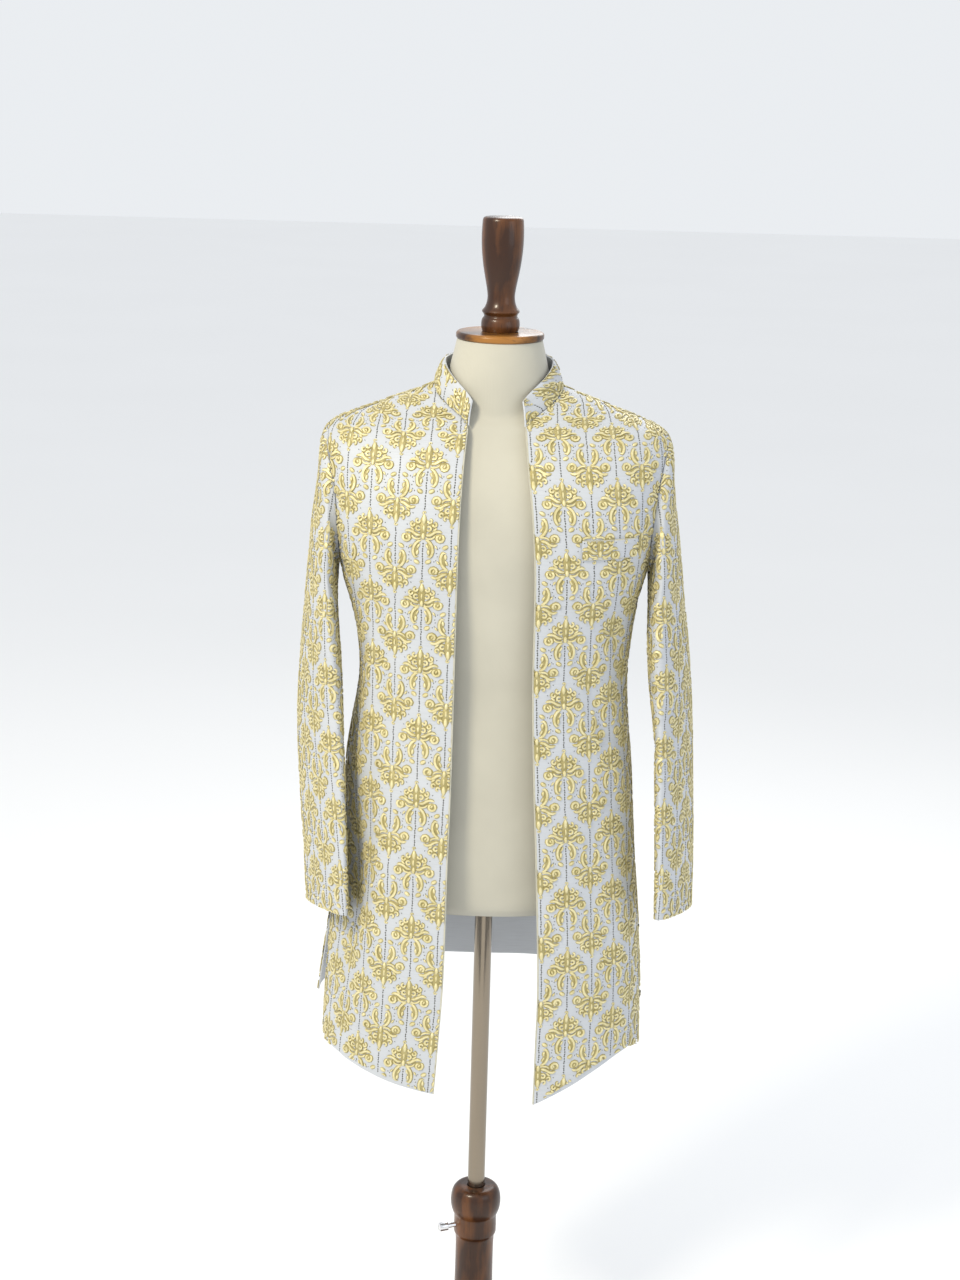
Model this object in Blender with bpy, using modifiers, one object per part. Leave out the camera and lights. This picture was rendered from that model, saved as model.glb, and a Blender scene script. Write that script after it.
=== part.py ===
"""Open-front sherwani coat with a stand collar, worn by a limbless dress form on a turned stand.

Run with: blender --background --python part.py

Metres, +Z up. The coat faces -Y, and +X is the wearer's left. The origin is the middle of the
stand's underside. The coat's outer surface is one smooth form, body_point, that takes an angle
round the body and a height. Every panel is a patch of it, with the wall's thickness inside.
"""

from collections import namedtuple
from math import acos, asin, atan2, cos, degrees, exp, pi, radians, sin, sqrt

import bmesh
import bpy
from mathutils import Matrix, Vector

# Driving sizes of the coat
CLOTH = 0.0022
COLLAR_CLOTH = 0.0026
SEAM_GAP = 0.0003
HEM_HEIGHT = 0.530
VENT_TOP = 0.820
SHOULDER_TIP_HEIGHT = 1.4235
UNDERARM_HEIGHT = 1.2425
NECK_POINT_HEIGHT = 1.479
FRONT_NECK_HEIGHT = 1.436
NECK_HALF_WIDTH = 0.083
NECK_CURVE = 1.4
ARMHOLE_FRONT = 0.071
ARMHOLE_BACK = 0.073

# The sleeves hang unevenly, so the stand is set to one side to keep the whole middle on the origin
STAND_SHIFT = -0.008

# How finely the solids are divided
SKIRT_ROWS = 6
WAIST_ROWS = 10
ARMHOLE_ROWS = 12
NECK_ROWS = 5
FRONT_COLUMNS = 11
BACK_COLUMNS = 20

# Sections of the coat's outer surface: half width at the side, depth in front of and behind
# the side seam, and the power of the rounded rectangle (2 is an ellipse).
Section = namedtuple("Section", "height half_width front back power")
COAT_SECTIONS = [
    Section(0.500, 0.2210, 0.1510, 0.1510, 2.40),
    Section(0.620, 0.2180, 0.1475, 0.1500, 2.40),
    Section(0.740, 0.2120, 0.1430, 0.1460, 2.40),
    Section(0.860, 0.2005, 0.1390, 0.1400, 2.40),
    Section(0.970, 0.1920, 0.1345, 0.1280, 2.45),
    Section(1.080, 0.1815, 0.1290, 0.1160, 2.50),
    Section(1.140, 0.1830, 0.1300, 0.1180, 2.55),
    Section(1.200, 0.1905, 0.1335, 0.1260, 2.60),
    Section(UNDERARM_HEIGHT, 0.2000, 0.1355, 0.1320, 2.80),
    Section(1.300, 0.2110, 0.1345, 0.1345, 3.00),
    Section(1.350, 0.2195, 0.1260, 0.1310, 3.00),
    Section(1.395, 0.2270, 0.1060, 0.1190, 2.80),
    Section(SHOULDER_TIP_HEIGHT, 0.2170, 0.0845, 0.1060, 2.50),
    Section(1.4375, 0.1900, 0.0710, 0.0990, 2.30),
    Section(1.4475, 0.1630, 0.0600, 0.0940, 2.20),
    Section(1.4585, 0.1350, 0.0480, 0.0880, 2.10),
    Section(1.4690, 0.1060, 0.0350, 0.0820, 2.00),
    Section(NECK_POINT_HEIGHT, NECK_HALF_WIDTH, 0.0220, 0.0760, 2.00),
    Section(1.4890, 0.0600, 0.0120, 0.0700, 2.00),
]

# Where each front edge hangs, as a distance from the middle
FrontEdge = namedtuple("FrontEdge", "height right left")
FRONT_EDGES = [
    FrontEdge(0.500, 0.0640, 0.0725),
    FrontEdge(0.600, 0.0580, 0.0735),
    FrontEdge(0.700, 0.0530, 0.0740),
    FrontEdge(0.860, 0.0510, 0.0670),
    FrontEdge(0.965, 0.0490, 0.0610),
    FrontEdge(1.100, 0.0480, 0.0550),
    FrontEdge(1.250, 0.0470, 0.0530),
    FrontEdge(1.330, 0.0455, 0.0475),
    FrontEdge(1.390, 0.0425, 0.0405),
    FrontEdge(FRONT_NECK_HEIGHT, 0.0385, 0.0360),
]

# The fronts' hems above the lowest point, along each panel from its edge at 0 to its vent at 1
HemRise = namedtuple("HemRise", "share right left")
HEM_RISES = [
    HemRise(0.00, 0.0145, 0.0025),
    HemRise(0.18, 0.0230, 0.0240),
    HemRise(0.36, 0.0335, 0.0435),
    HemRise(0.55, 0.0405, 0.0570),
    HemRise(0.75, 0.0445, 0.0580),
    HemRise(1.00, 0.0430, 0.0420),
]
BACK_HEM_RISE = 0.098

# Soft folds: angle round the body, height, half spans, slant of the crease in degrees for each
# metre of height, and how far it stands out (minus sinks in)
Fold = namedtuple("Fold", "angle height half_angle half_height slant depth")
FOLDS = [
    Fold(-66, 0.80, 18, 0.140, 0, -0.0200),
    Fold(-88, 1.115, 24, 0.085, 0, -0.0080),
    Fold(-58, 1.10, 7, 0.130, 20, 0.0030),
    Fold(-45, 1.12, 6, 0.120, 12, -0.0026),
    Fold(-38, 0.72, 9, 0.160, -10, 0.0030),
    Fold(-62, 0.66, 8, 0.120, -8, -0.0028),
    Fold(56, 1.17, 8, 0.070, -150, -0.0030),
    Fold(50, 1.05, 8, 0.070, -150, -0.0032),
    Fold(60, 0.98, 8, 0.080, -90, 0.0030),
    Fold(44, 0.80, 9, 0.100, -60, -0.0030),
    Fold(58, 0.70, 9, 0.120, -30, 0.0028),
    Fold(150, 1.09, 8, 0.120, 20, -0.0030),
    Fold(-152, 1.10, 8, 0.120, -20, -0.0032),
    Fold(126, 1.00, 9, 0.120, 40, 0.0026),
    Fold(-128, 0.99, 9, 0.130, -30, 0.0028),
    Fold(162, 0.76, 11, 0.200, 8, 0.0040),
    Fold(-158, 0.74, 12, 0.190, -6, 0.0038),
    Fold(180, 0.74, 9, 0.220, 0, -0.0034),
    Fold(132, 0.72, 10, 0.160, 0, -0.0030),
    Fold(-136, 0.71, 10, 0.160, 0, -0.0032),
]
VENT_FLARE_RIGHT = 0.014
VENT_FLARE_LEFT = 0.003
VENT_FLARE_ANGLE = 24

# Rings of the sleeve from its head down: how far out and in the ring reaches with the height of
# each of these sides, half its depth, its middle's shift to the front, its turn in degrees
# towards the body in front, and how far its front end stands above its middle
Ring = namedtuple("Ring", "out_x out_z in_x in_z half_depth forward twist lift")
SLEEVE_HEAD = [
    Ring(0.2250, 1.4185, 0.2014, 1.2405, 0.0725, 0.000, 0, 0.0),
    Ring(0.2292, 1.4085, 0.2022, 1.2380, 0.0742, 0.000, 0, 0.0),
    Ring(0.2310, 1.3930, 0.2030, 1.2345, 0.0755, 0.000, 1, 0.0),
    Ring(0.2320, 1.3720, 0.2036, 1.2300, 0.0765, 0.001, 2, 0.0),
    Ring(0.2345, 1.3460, 0.2042, 1.2240, 0.0772, 0.002, 3, 0.0),
    Ring(0.2380, 1.3170, 0.2046, 1.2150, 0.0778, 0.003, 4, 0.0),
]
LEFT_ARM = [
    Ring(0.2430, 1.2880, 0.2048, 1.2030, 0.0782, 0.004, 5, 0.0),
    Ring(0.2475, 1.2570, 0.2046, 1.1880, 0.0784, 0.006, 7, 0.0),
    Ring(0.2535, 1.2100, 0.2045, 1.1600, 0.0782, 0.008, 9, 0.0),
    Ring(0.2615, 1.1550, 0.2065, 1.1200, 0.0778, 0.011, 11, 0.002),
    Ring(0.2690, 1.0950, 0.2115, 1.0700, 0.0770, 0.014, 13, 0.004),
    Ring(0.2750, 1.0350, 0.2180, 1.0180, 0.0758, 0.018, 16, 0.006),
    Ring(0.2785, 0.9750, 0.2205, 0.9640, 0.0742, 0.023, 17, 0.008),
    Ring(0.2815, 0.9100, 0.2230, 0.9040, 0.0720, 0.029, 18, 0.010),
    Ring(0.2840, 0.8450, 0.2255, 0.8420, 0.0695, 0.035, 19, 0.011),
    Ring(0.2850, 0.7730, 0.2275, 0.7730, 0.0655, 0.041, 20, 0.0115),
]
RIGHT_ARM = [
    Ring(0.2415, 1.2880, 0.2048, 1.2030, 0.0782, 0.004, 5, 0.0),
    Ring(0.2445, 1.2570, 0.2040, 1.1880, 0.0784, 0.006, 7, 0.0),
    Ring(0.2485, 1.2100, 0.2015, 1.1600, 0.0782, 0.008, 9, 0.0),
    Ring(0.2530, 1.1550, 0.1975, 1.1200, 0.0778, 0.012, 12, 0.002),
    Ring(0.2570, 1.0950, 0.1940, 1.0700, 0.0770, 0.016, 15, 0.004),
    Ring(0.2595, 1.0350, 0.1915, 1.0180, 0.0758, 0.022, 18, 0.006),
    Ring(0.2580, 0.9750, 0.1885, 0.9640, 0.0742, 0.029, 20, 0.008),
    Ring(0.2535, 0.9100, 0.1860, 0.9040, 0.0720, 0.036, 21, 0.010),
    Ring(0.2485, 0.8450, 0.1835, 0.8420, 0.0695, 0.043, 22, 0.011),
    Ring(0.2440, 0.7700, 0.1810, 0.7700, 0.0655, 0.049, 23, 0.0115),
]
LEAST_SLEEVE_THICKNESS = 0.012
SLEEVE_SEAM_PULL = 0.00024
FRONT_ARM_SEAM = 8
BACK_ARM_SEAM = 7
ELBOW_HEIGHT = 1.060
ELBOW_CREASE = 0.0028

# Stand collar: height and inward lean at the front end, the side and the back
COLLAR_HEIGHTS = (0.031, 0.033, 0.040)
COLLAR_LEANS = (0.009, 0.0125, 0.009)
COLLAR_BACK_COLUMNS = 14
COLLAR_ROWS = 4

# Breast pocket welt on the wearer's left
WELT_INNER_X = 0.110
WELT_OUTER_X = 0.181
WELT_TOP = 1.3025
WELT_HEIGHT = 0.0240
WELT_CLOTH = 0.0016

# Sections of the dress form, clear of the coat and meeting it along the shoulders
FORM_SECTIONS = [
    Section(0.780, 0.1500, 0.0940, 0.1020, 2.30),
    Section(0.792, 0.1590, 0.1010, 0.1090, 2.30),
    Section(0.830, 0.1640, 0.1045, 0.1130, 2.30),
    Section(0.900, 0.1650, 0.1060, 0.1150, 2.30),
    Section(0.990, 0.1570, 0.1020, 0.1060, 2.30),
    Section(1.080, 0.1490, 0.1000, 0.0960, 2.30),
    Section(1.150, 0.1540, 0.1060, 0.1000, 2.30),
    Section(UNDERARM_HEIGHT, 0.1700, 0.1180, 0.1150, 2.40),
    Section(1.300, 0.1850, 0.1190, 0.1200, 2.50),
    Section(1.350, 0.1980, 0.1100, 0.1170, 2.50),
    Section(1.395, 0.2060, 0.0900, 0.1060, 2.40),
    Section(1.4200, 0.2020, 0.0720, 0.0960, 2.20),
    Section(1.4341, 0.1893, 0.0640, 0.0945, 2.10),
    Section(1.4441, 0.1623, 0.0540, 0.0900, 2.00),
    Section(1.4551, 0.1343, 0.0425, 0.0850, 2.00),
    Section(1.4656, 0.1053, 0.0290, 0.0790, 1.90),
    Section(1.4754, 0.0800, 0.0180, 0.0725, 1.90),
    Section(1.4820, 0.0640, 0.0150, 0.0660, 1.90),
    Section(1.5380, 0.0400, 0.0150, 0.0400, 2.00),
]
NECK_SECTIONS = [
    Section(1.3000, 0.0300, 0.0300, 0.0300, 2.00),
    Section(1.4300, 0.0620, 0.0520, 0.0620, 2.00),
    Section(1.4500, 0.0655, 0.0560, 0.0650, 2.00),
    Section(1.4700, 0.0660, 0.0555, 0.0655, 2.00),
    Section(1.4880, 0.0650, 0.0550, 0.0640, 2.00),
    Section(1.5050, 0.0625, 0.0550, 0.0600, 2.00),
    Section(1.5200, 0.0592, 0.0550, 0.0572, 2.00),
    Section(1.5380, 0.0550, 0.0545, 0.0545, 2.00),
]
NECK_BLEND = 14
FORM_ROWS = [
    0.780, 0.786, 0.795, 0.815, 0.87, 0.95, 1.02, 1.09, 1.16, 1.22, 1.275, 1.32, 1.36, 1.395,
    1.416, 1.427, 1.4341, 1.4391, 1.4441, 1.4496, 1.4551, 1.4603, 1.4656, 1.4705, 1.4754,
    1.4795, 1.487, 1.502, 1.520, 1.5378,
]
FORM_SIDES = 32

# Turned pieces: radius and height down the outer side
NECK_DISC = [(0.0, 1.5475), (0.0540, 1.5475), (0.0568, 1.5452), (0.0568, 1.5400), (0.0550, 1.5381), (0.0, 1.5381)]
FINIAL = [
    (0.0, 1.6930), (0.0240, 1.6925), (0.0268, 1.6895), (0.0280, 1.6700), (0.0276, 1.6530),
    (0.0256, 1.6350), (0.0230, 1.6200), (0.0200, 1.6050), (0.0183, 1.5930), (0.0190, 1.5850),
    (0.0215, 1.5785), (0.0252, 1.5735), (0.0232, 1.5700), (0.0222, 1.5670), (0.0246, 1.5640),
    (0.0258, 1.5590), (0.0254, 1.5520), (0.0240, 1.5478), (0.0, 1.5478),
]
POLE_RADIUS = 0.0120
POLE_BOTTOM = 0.190
FLANGE_RADIUS = 0.0400
FLANGE_THICKNESS = 0.010
FORM_BOTTOM = 0.780
BORE_RADIUS = POLE_RADIUS + SEAM_GAP
COLUMN = [
    (0.0150, 0.3350), (0.0260, 0.3345), (0.0320, 0.3290), (0.0350, 0.3180), (0.0350, 0.3060),
    (0.0325, 0.2960), (0.0300, 0.2900), (0.0300, 0.2640), (0.0275, 0.2580), (0.0268, 0.2300),
    (0.0275, 0.1700), (0.0305, 0.1100), (0.0345, 0.0650), (0.0420, 0.0500), (0.0430, 0.0400),
    (0.0430, 0.0303),
]
COLUMN_FLOOR = 0.034
BASE = [(0.0, 0.0300), (0.1900, 0.0300), (0.2060, 0.0260), (0.2120, 0.0180), (0.2120, 0.0040), (0.2080, 0.0), (0.0, 0.0)]
TURNED_SIDES = 24
SCREW_HEIGHT = 0.277
SCREW_ANGLE = 208
SCREW_STEM_RADIUS = 0.0035
SCREW_KNOB_RADIUS = 0.0062
SCREW_STEM = 0.012
SCREW_KNOB = 0.013

COLOURS = {
    "cloth": ((0.80, 0.74, 0.58), 0.62, 0.0),
    "form_cover": ((0.72, 0.69, 0.60), 0.85, 0.0),
    "wood": ((0.16, 0.055, 0.022), 0.30, 0.0),
    "base_wood": ((0.11, 0.045, 0.022), 0.40, 0.0),
    "pole_metal": ((0.62, 0.50, 0.32), 0.25, 1.0),
    "screw_metal": ((0.70, 0.70, 0.72), 0.20, 1.0),
}


def clear_scene():
    for thing in list(bpy.data.objects):
        bpy.data.objects.remove(thing, do_unlink=True)


def smooth_step(share):
    share = min(1.0, max(0.0, share))
    return share * share * (3 - 2 * share)


def read_table(rows, height, column):
    """A smooth reading of one column of a table whose first column is the height."""
    low, high = sorted((rows[0][0], rows[-1][0]))
    height = min(high, max(low, height))
    ordered = sorted(rows)
    index = max(i for i in range(len(ordered) - 1) if ordered[i][0] <= height)
    tangents = []
    for i in (index, index + 1):
        before, after = max(0, i - 1), min(len(ordered) - 1, i + 1)
        rise = getattr(ordered[after], column) - getattr(ordered[before], column)
        tangents.append(rise / (ordered[after][0] - ordered[before][0]))
    start, end = ordered[index], ordered[index + 1]
    span = end[0] - start[0]
    t = (height - start[0]) / span
    value_0, value_1 = getattr(start, column), getattr(end, column)
    return (
        (2 * t**3 - 3 * t**2 + 1) * value_0
        + (t**3 - 2 * t**2 + t) * span * tangents[0]
        + (3 * t**2 - 2 * t**3) * value_1
        + (t**3 - t**2) * span * tangents[1]
    )


def section_point(sections, angle, height):
    """A point of a table's surface. Angle 0 is the middle of the front and 90 the wearer's left."""
    half_width = read_table(sections, height, "half_width")
    power = 2 / read_table(sections, height, "power")
    turn = radians(angle)
    side, ahead = sin(turn), cos(turn)
    depth = read_table(sections, height, "front" if ahead > 0 else "back")
    x = half_width * abs(side) ** power * (1 if side > 0 else -1)
    y = -depth * abs(ahead) ** power * (1 if ahead > 0 else -1)
    return Vector((x, y, height))


def fold_depth(angle, height):
    total = 0.0
    for fold in FOLDS:
        away = (angle - fold.angle + 180) % 360 - 180
        away -= fold.slant * (height - fold.height)
        across, along = away / fold.half_angle, (height - fold.height) / fold.half_height
        if abs(across) < 3 and abs(along) < 3:
            total += fold.depth * exp(-across * across - along * along)
    return total * smooth_step((1.23 - height) / 0.05)


def surface_normal(place, angle, height):
    step_angle, step_height = 0.4, 0.0008
    across = place(angle + step_angle, height) - place(angle - step_angle, height)
    up = place(angle, height + step_height) - place(angle, height - step_height)
    return across.cross(up).normalized()


def coat_base(angle, height):
    return section_point(COAT_SECTIONS, angle, height)


def coat_form(angle, height):
    point = coat_base(angle, height)
    depth = fold_depth(angle, height)
    if depth:
        point += Vector((point.x, point.y, 0)).normalized() * depth
    return point


def body_point(angle, height, out=0.0):
    """A point on the coat's outer surface, or moved out of it along its normal."""
    point = coat_form(angle, height)
    if out:
        point = point + surface_normal(coat_form, angle, height) * out
    return point


def angle_at_x(x, height):
    """The angle in front of the side seam at which the surface has this distance from the middle."""
    half_width = read_table(COAT_SECTIONS, height, "half_width")
    power = read_table(COAT_SECTIONS, height, "power")
    return degrees(asin(min(1.0, abs(x) / half_width) ** (power / 2)))


def angle_at_depth(y, height):
    """The angle at which the surface has this depth in front of or behind the side seam."""
    depth = read_table(COAT_SECTIONS, height, "front" if y < 0 else "back")
    power = read_table(COAT_SECTIONS, height, "power")
    from_middle = degrees(acos(min(1.0, abs(y) / depth) ** (power / 2)))
    return from_middle if y < 0 else 180 - from_middle


def armhole_depth(turn):
    """The armhole's depth at a turn round it: 0 is the shoulder tip, and turns to the front are plus."""
    return -(ARMHOLE_FRONT if sin(turn) > 0 else ARMHOLE_BACK) * sin(turn)


def armhole_height(turn):
    middle = (SHOULDER_TIP_HEIGHT + UNDERARM_HEIGHT) / 2
    return middle + (SHOULDER_TIP_HEIGHT - UNDERARM_HEIGHT) / 2 * cos(turn)


def neck_turn(side):
    """Where the neckline starts, in degrees round the neck from the middle of the front."""
    start = FRONT_EDGES[-1].left if side > 0 else FRONT_EDGES[-1].right
    return degrees(asin(start / NECK_HALF_WIDTH))


def neckline(side, share):
    """The angle and height of the front neckline, from the front edge at 0 to the shoulder at 1."""
    start = neck_turn(side)
    turn = radians(start + (90 - start) * share**NECK_CURVE)
    height = FRONT_NECK_HEIGHT + (NECK_POINT_HEIGHT - FRONT_NECK_HEIGHT) * share
    return angle_at_x(NECK_HALF_WIDTH * sin(turn), height), height


def row_levels():
    """Heights of the grid's rows with the zone each is in, from the hem to the neck point."""
    rows = [("skirt", HEM_HEIGHT + (VENT_TOP - HEM_HEIGHT) * i / SKIRT_ROWS) for i in range(SKIRT_ROWS)]
    rows += [("waist", VENT_TOP + (UNDERARM_HEIGHT - VENT_TOP) * i / WAIST_ROWS) for i in range(WAIST_ROWS)]
    for i in range(ARMHOLE_ROWS):
        rows.append(("armhole", armhole_height(pi - pi * i / ARMHOLE_ROWS)))
    rows.append(("shoulder", SHOULDER_TIP_HEIGHT))
    rows.append(("shoulder", (SHOULDER_TIP_HEIGHT * 0.45 + FRONT_NECK_HEIGHT * 0.55)))
    for i in range(NECK_ROWS + 1):
        rows.append(("neck", FRONT_NECK_HEIGHT + (NECK_POINT_HEIGHT - FRONT_NECK_HEIGHT) * i / NECK_ROWS))
    return rows


def side_edge(zone, height, row, rows_before_armhole, behind):
    """The angle of the panel's outer edge: the side seam, the armhole or the shoulder seam."""
    if zone == "armhole":
        turn = pi - pi * (row - rows_before_armhole) / ARMHOLE_ROWS
        return angle_at_depth(armhole_depth(-turn if behind else turn), height)
    return 90.0


def trimmed(start, end, share, width_start, width_end):
    """A share of the way between two angles, kept half a seam's gap from each end."""
    return (start + width_start) + ((end - width_end) - (start + width_start)) * share


def seam_angle(angle, height, wide=SEAM_GAP / 2):
    """How many degrees half a seam's gap takes at this place."""
    step = 0.2
    length = (coat_base(angle + step, height) - coat_base(angle - step, height)).length / (2 * step)
    return wide / max(length, 1e-5)


def front_grid(side, columns=FRONT_COLUMNS):
    """Angles and heights of one front's grid, as rows of (angle, height) from the edge outwards."""
    levels = row_levels()
    before = SKIRT_ROWS + WAIST_ROWS
    column = "left" if side > 0 else "right"
    grid = []
    for row, (zone, height) in enumerate(levels):
        if zone == "neck":
            share = (height - FRONT_NECK_HEIGHT) / (NECK_POINT_HEIGHT - FRONT_NECK_HEIGHT)
            start, _ = neckline(side, min(share, 0.97))
        else:
            start = angle_at_x(read_table(FRONT_EDGES, height, column), height)
        end = side_edge(zone, height, row, before, behind=False)
        gap = seam_angle(end, height)
        hem_share = 1 - smooth_step((height - HEM_HEIGHT) / (VENT_TOP - HEM_HEIGHT))
        line = []
        for i in range(columns + 1):
            share = i / columns
            rise = read_table(HEM_RISES, share, column)
            line.append((side * trimmed(start, end, share, 0.0, gap), height + rise * hem_share))
        grid.append(line)
    return grid


def back_grid(columns=BACK_COLUMNS):
    """Angles and heights of the back's grid, from the wearer's left round to the right."""
    levels = row_levels()
    before = SKIRT_ROWS + WAIST_ROWS
    grid = []
    for row, (zone, height) in enumerate(levels):
        start = side_edge(zone, height, row, before, behind=True)
        gap = seam_angle(start, height)
        hem_share = 1 - smooth_step((height - HEM_HEIGHT) / (VENT_TOP - HEM_HEIGHT))
        line = []
        for i in range(columns + 1):
            angle = trimmed(start, 360 - start, i / columns, gap, gap)
            line.append((angle, height + BACK_HEM_RISE * hem_share))
        grid.append(line)
    return grid


def back_point(angle, height, out=0.0):
    """The back's surface: the body's, with the vent's edges flared away from the fronts."""
    signed = angle if angle <= 180 else angle - 360
    flare = VENT_FLARE_LEFT if signed > 0 else VENT_FLARE_RIGHT
    away = (abs(signed) - 90) / VENT_FLARE_ANGLE
    share = smooth_step((VENT_TOP - height) / (VENT_TOP - HEM_HEIGHT))
    return body_point(signed, height, out) + Vector(
        ((1 if signed > 0 else -1) * flare * share * exp(-away * away), 0, 0)
    )


def make_wall(name, outer, inner, material):
    """A closed cloth wall between two grids of points that have the same rows and columns."""
    rows, columns = len(outer), len(outer[0])
    shape = bmesh.new()
    number = shape.verts.layers.int.new("number")
    bmesh.ops.create_grid(shape, x_segments=columns - 1, y_segments=rows - 1, size=0.5)
    for vert in shape.verts:
        column = round((vert.co.x + 0.5) * (columns - 1))
        row = round((vert.co.y + 0.5) * (rows - 1))
        vert[number] = row * columns + column
    outside = set(shape.verts)
    bmesh.ops.extrude_face_region(shape, geom=shape.faces[:], use_keep_orig=True)
    for vert in shape.verts:
        grid = outer if vert in outside else inner
        vert.co = grid[vert[number] // columns][vert[number] % columns]
    return make_object(name, shape, material)


def make_object(name, shape, material):
    bmesh.ops.recalc_face_normals(shape, faces=shape.faces)
    if shape.calc_volume(signed=True) < 0:
        bmesh.ops.reverse_faces(shape, faces=shape.faces)
    mesh = bpy.data.meshes.new(name)
    shape.to_mesh(mesh)
    shape.free()
    mesh.materials.append(bpy.data.materials[material])
    thing = bpy.data.objects.new(name, mesh)
    bpy.data.collections["sherwani_coat"].objects.link(thing)
    return thing


def make_materials():
    for name, (colour, roughness, metallic) in COLOURS.items():
        material = bpy.data.materials.new(name)
        material.use_nodes = True
        shader = material.node_tree.nodes["Principled BSDF"]
        shader.inputs["Base Color"].default_value = (*colour, 1)
        shader.inputs["Roughness"].default_value = roughness
        shader.inputs["Metallic"].default_value = metallic


def make_panel(name, grid, place, flip):
    """A body panel from its grid of angles and heights."""
    if flip:
        grid = [list(reversed(line)) for line in grid]
    outer = [[place(angle, height) for angle, height in line] for line in grid]
    inner = [[place(angle, height, -CLOTH) for angle, height in line] for line in grid]
    return make_wall(name, outer, inner, "cloth")


def armhole_ring(side):
    """The sleeve's first ring, just outside the body's armhole edge, for each turn round it."""
    ring = []
    steps = 2 * ARMHOLE_ROWS
    middle = Vector((0, 0, (SHOULDER_TIP_HEIGHT + UNDERARM_HEIGHT) / 2))
    for i in range(steps):
        turn = 2 * pi * i / steps
        height = armhole_height(turn)
        angle = angle_at_depth(armhole_depth(turn), height) if 0 < i != ARMHOLE_ROWS else 90.0
        point = coat_base(angle, height)
        to_middle = (middle - Vector((0, point.y, point.z))).normalized()
        point = point + Vector((SEAM_GAP * 1.3, 0, 0)) + to_middle * SEAM_GAP
        ring.append(Vector((side * point.x, point.y, point.z)))
    return ring


def sleeve_ring(ring, side, steps):
    """One ring of the sleeve: a flattened oval, turned, that reaches the stated sides."""
    middle = Vector(((ring.out_x + ring.in_x) / 2, -ring.forward, (ring.out_z + ring.in_z) / 2))
    turned = radians(ring.twist)
    reach = (ring.out_x - ring.in_x) / 2
    from_depth = ring.half_depth * sin(turned)
    thickness = sqrt(max(reach**2 - from_depth**2, LEAST_SLEEVE_THICKNESS**2)) / cos(turned)
    across = Vector((cos(turned), sin(turned), 0)) * thickness
    across.z = (ring.out_z - ring.in_z) / 2
    ahead = Vector((-sin(turned), -cos(turned), 0)) * ring.half_depth
    ahead.z = ring.lift
    points = []
    for i in range(steps):
        turn = 2 * pi * i / steps
        point = middle + across * cos(turn) + ahead * sin(turn)
        points.append(Vector((side * point.x, point.y, point.z)))
    return points


def sleeve_rings(side):
    steps = 2 * ARMHOLE_ROWS
    table = SLEEVE_HEAD + (LEFT_ARM if side > 0 else RIGHT_ARM)
    first = armhole_ring(side)
    seat = Ring(
        abs(first[0].x), first[0].z, abs(first[ARMHOLE_ROWS].x), first[ARMHOLE_ROWS].z, ARMHOLE_FRONT, 0, 0, 0
    )
    plain = sleeve_ring(seat, side, steps)
    rings = [first]
    for number, row in enumerate(table, start=1):
        keep = 1 - smooth_step(number / 7)
        ring = sleeve_ring(row, side, steps)
        crease = ELBOW_CREASE * exp(-(((row.out_z - ELBOW_HEIGHT) / 0.035) ** 2))
        for i, point in enumerate(ring):
            point += (first[i] - plain[i]) * keep
            turn = 2 * pi * i / steps
            point.y += crease * max(0.0, sin(turn)) ** 2
        rings.append(ring)
    return rings


def ring_inward(rings, row, column):
    """Into the sleeve: square to its surface, or towards the middle at the armhole."""
    ring = rings[row]
    count = len(ring)
    middle = sum(ring, Vector()) / count
    if row == 0:
        return (Vector((ring[column].x, middle.y, middle.z)) - ring[column]).normalized()
    along = rings[min(row + 1, len(rings) - 1)][column] - rings[row - 1][column]
    across = ring[(column + 1) % count] - ring[column - 1]
    normal = along.cross(across).normalized()
    return normal if normal.dot(middle - ring[column]) > 0 else -normal


def seam_pull(rings, row, column, step):
    """Away from the sleeve's lengthwise seam and square to it, to one side."""
    ring = rings[row]
    pull = ring[(column + step) % len(ring)] - ring[column]
    along = rings[min(row + 1, len(rings) - 1)][column] - rings[max(row - 1, 0)][column]
    return (pull - along * pull.dot(along) / along.length_squared).normalized()


def make_sleeve(side, word):
    rings = sleeve_rings(side)
    count = len(rings[0])
    pieces = {
        "upper": range(-BACK_ARM_SEAM, FRONT_ARM_SEAM + 1),
        "under": range(FRONT_ARM_SEAM, count - BACK_ARM_SEAM + 1),
    }
    for piece, columns in pieces.items():
        outer, inner = [], []
        for row in reversed(range(len(rings))):
            line_out, line_in = [], []
            for column in columns:
                point = rings[row][column % count].copy()
                inward = ring_inward(rings, row, column % count)
                if column in (columns[0], columns[-1]):
                    step = 1 if column == columns[0] else -1
                    point += seam_pull(rings, row, column % count, step) * SLEEVE_SEAM_PULL
                line_out.append(point)
                line_in.append(point + inward * CLOTH)
            if side < 0:
                line_out.reverse()
                line_in.reverse()
            outer.append(line_out)
            inner.append(line_in)
        make_wall(f"sleeve_{word}_{piece}", outer, inner, "cloth")


def neck_base():
    """Points of the neckline from the wearer's right front, round the back, to the left front."""
    points = []
    for i in range(NECK_ROWS + 1):
        angle, height = neckline(-1, min(i / NECK_ROWS, 0.97))
        points.append(coat_base(-angle, height if i < NECK_ROWS else NECK_POINT_HEIGHT))
    for i in range(1, COLLAR_BACK_COLUMNS):
        angle = -90 - 180 * i / COLLAR_BACK_COLUMNS
        points.append(coat_base(angle, NECK_POINT_HEIGHT))
    for i in reversed(range(NECK_ROWS + 1)):
        angle, height = neckline(1, min(i / NECK_ROWS, 0.97))
        points.append(coat_base(angle, height if i < NECK_ROWS else NECK_POINT_HEIGHT))
    return points


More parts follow.
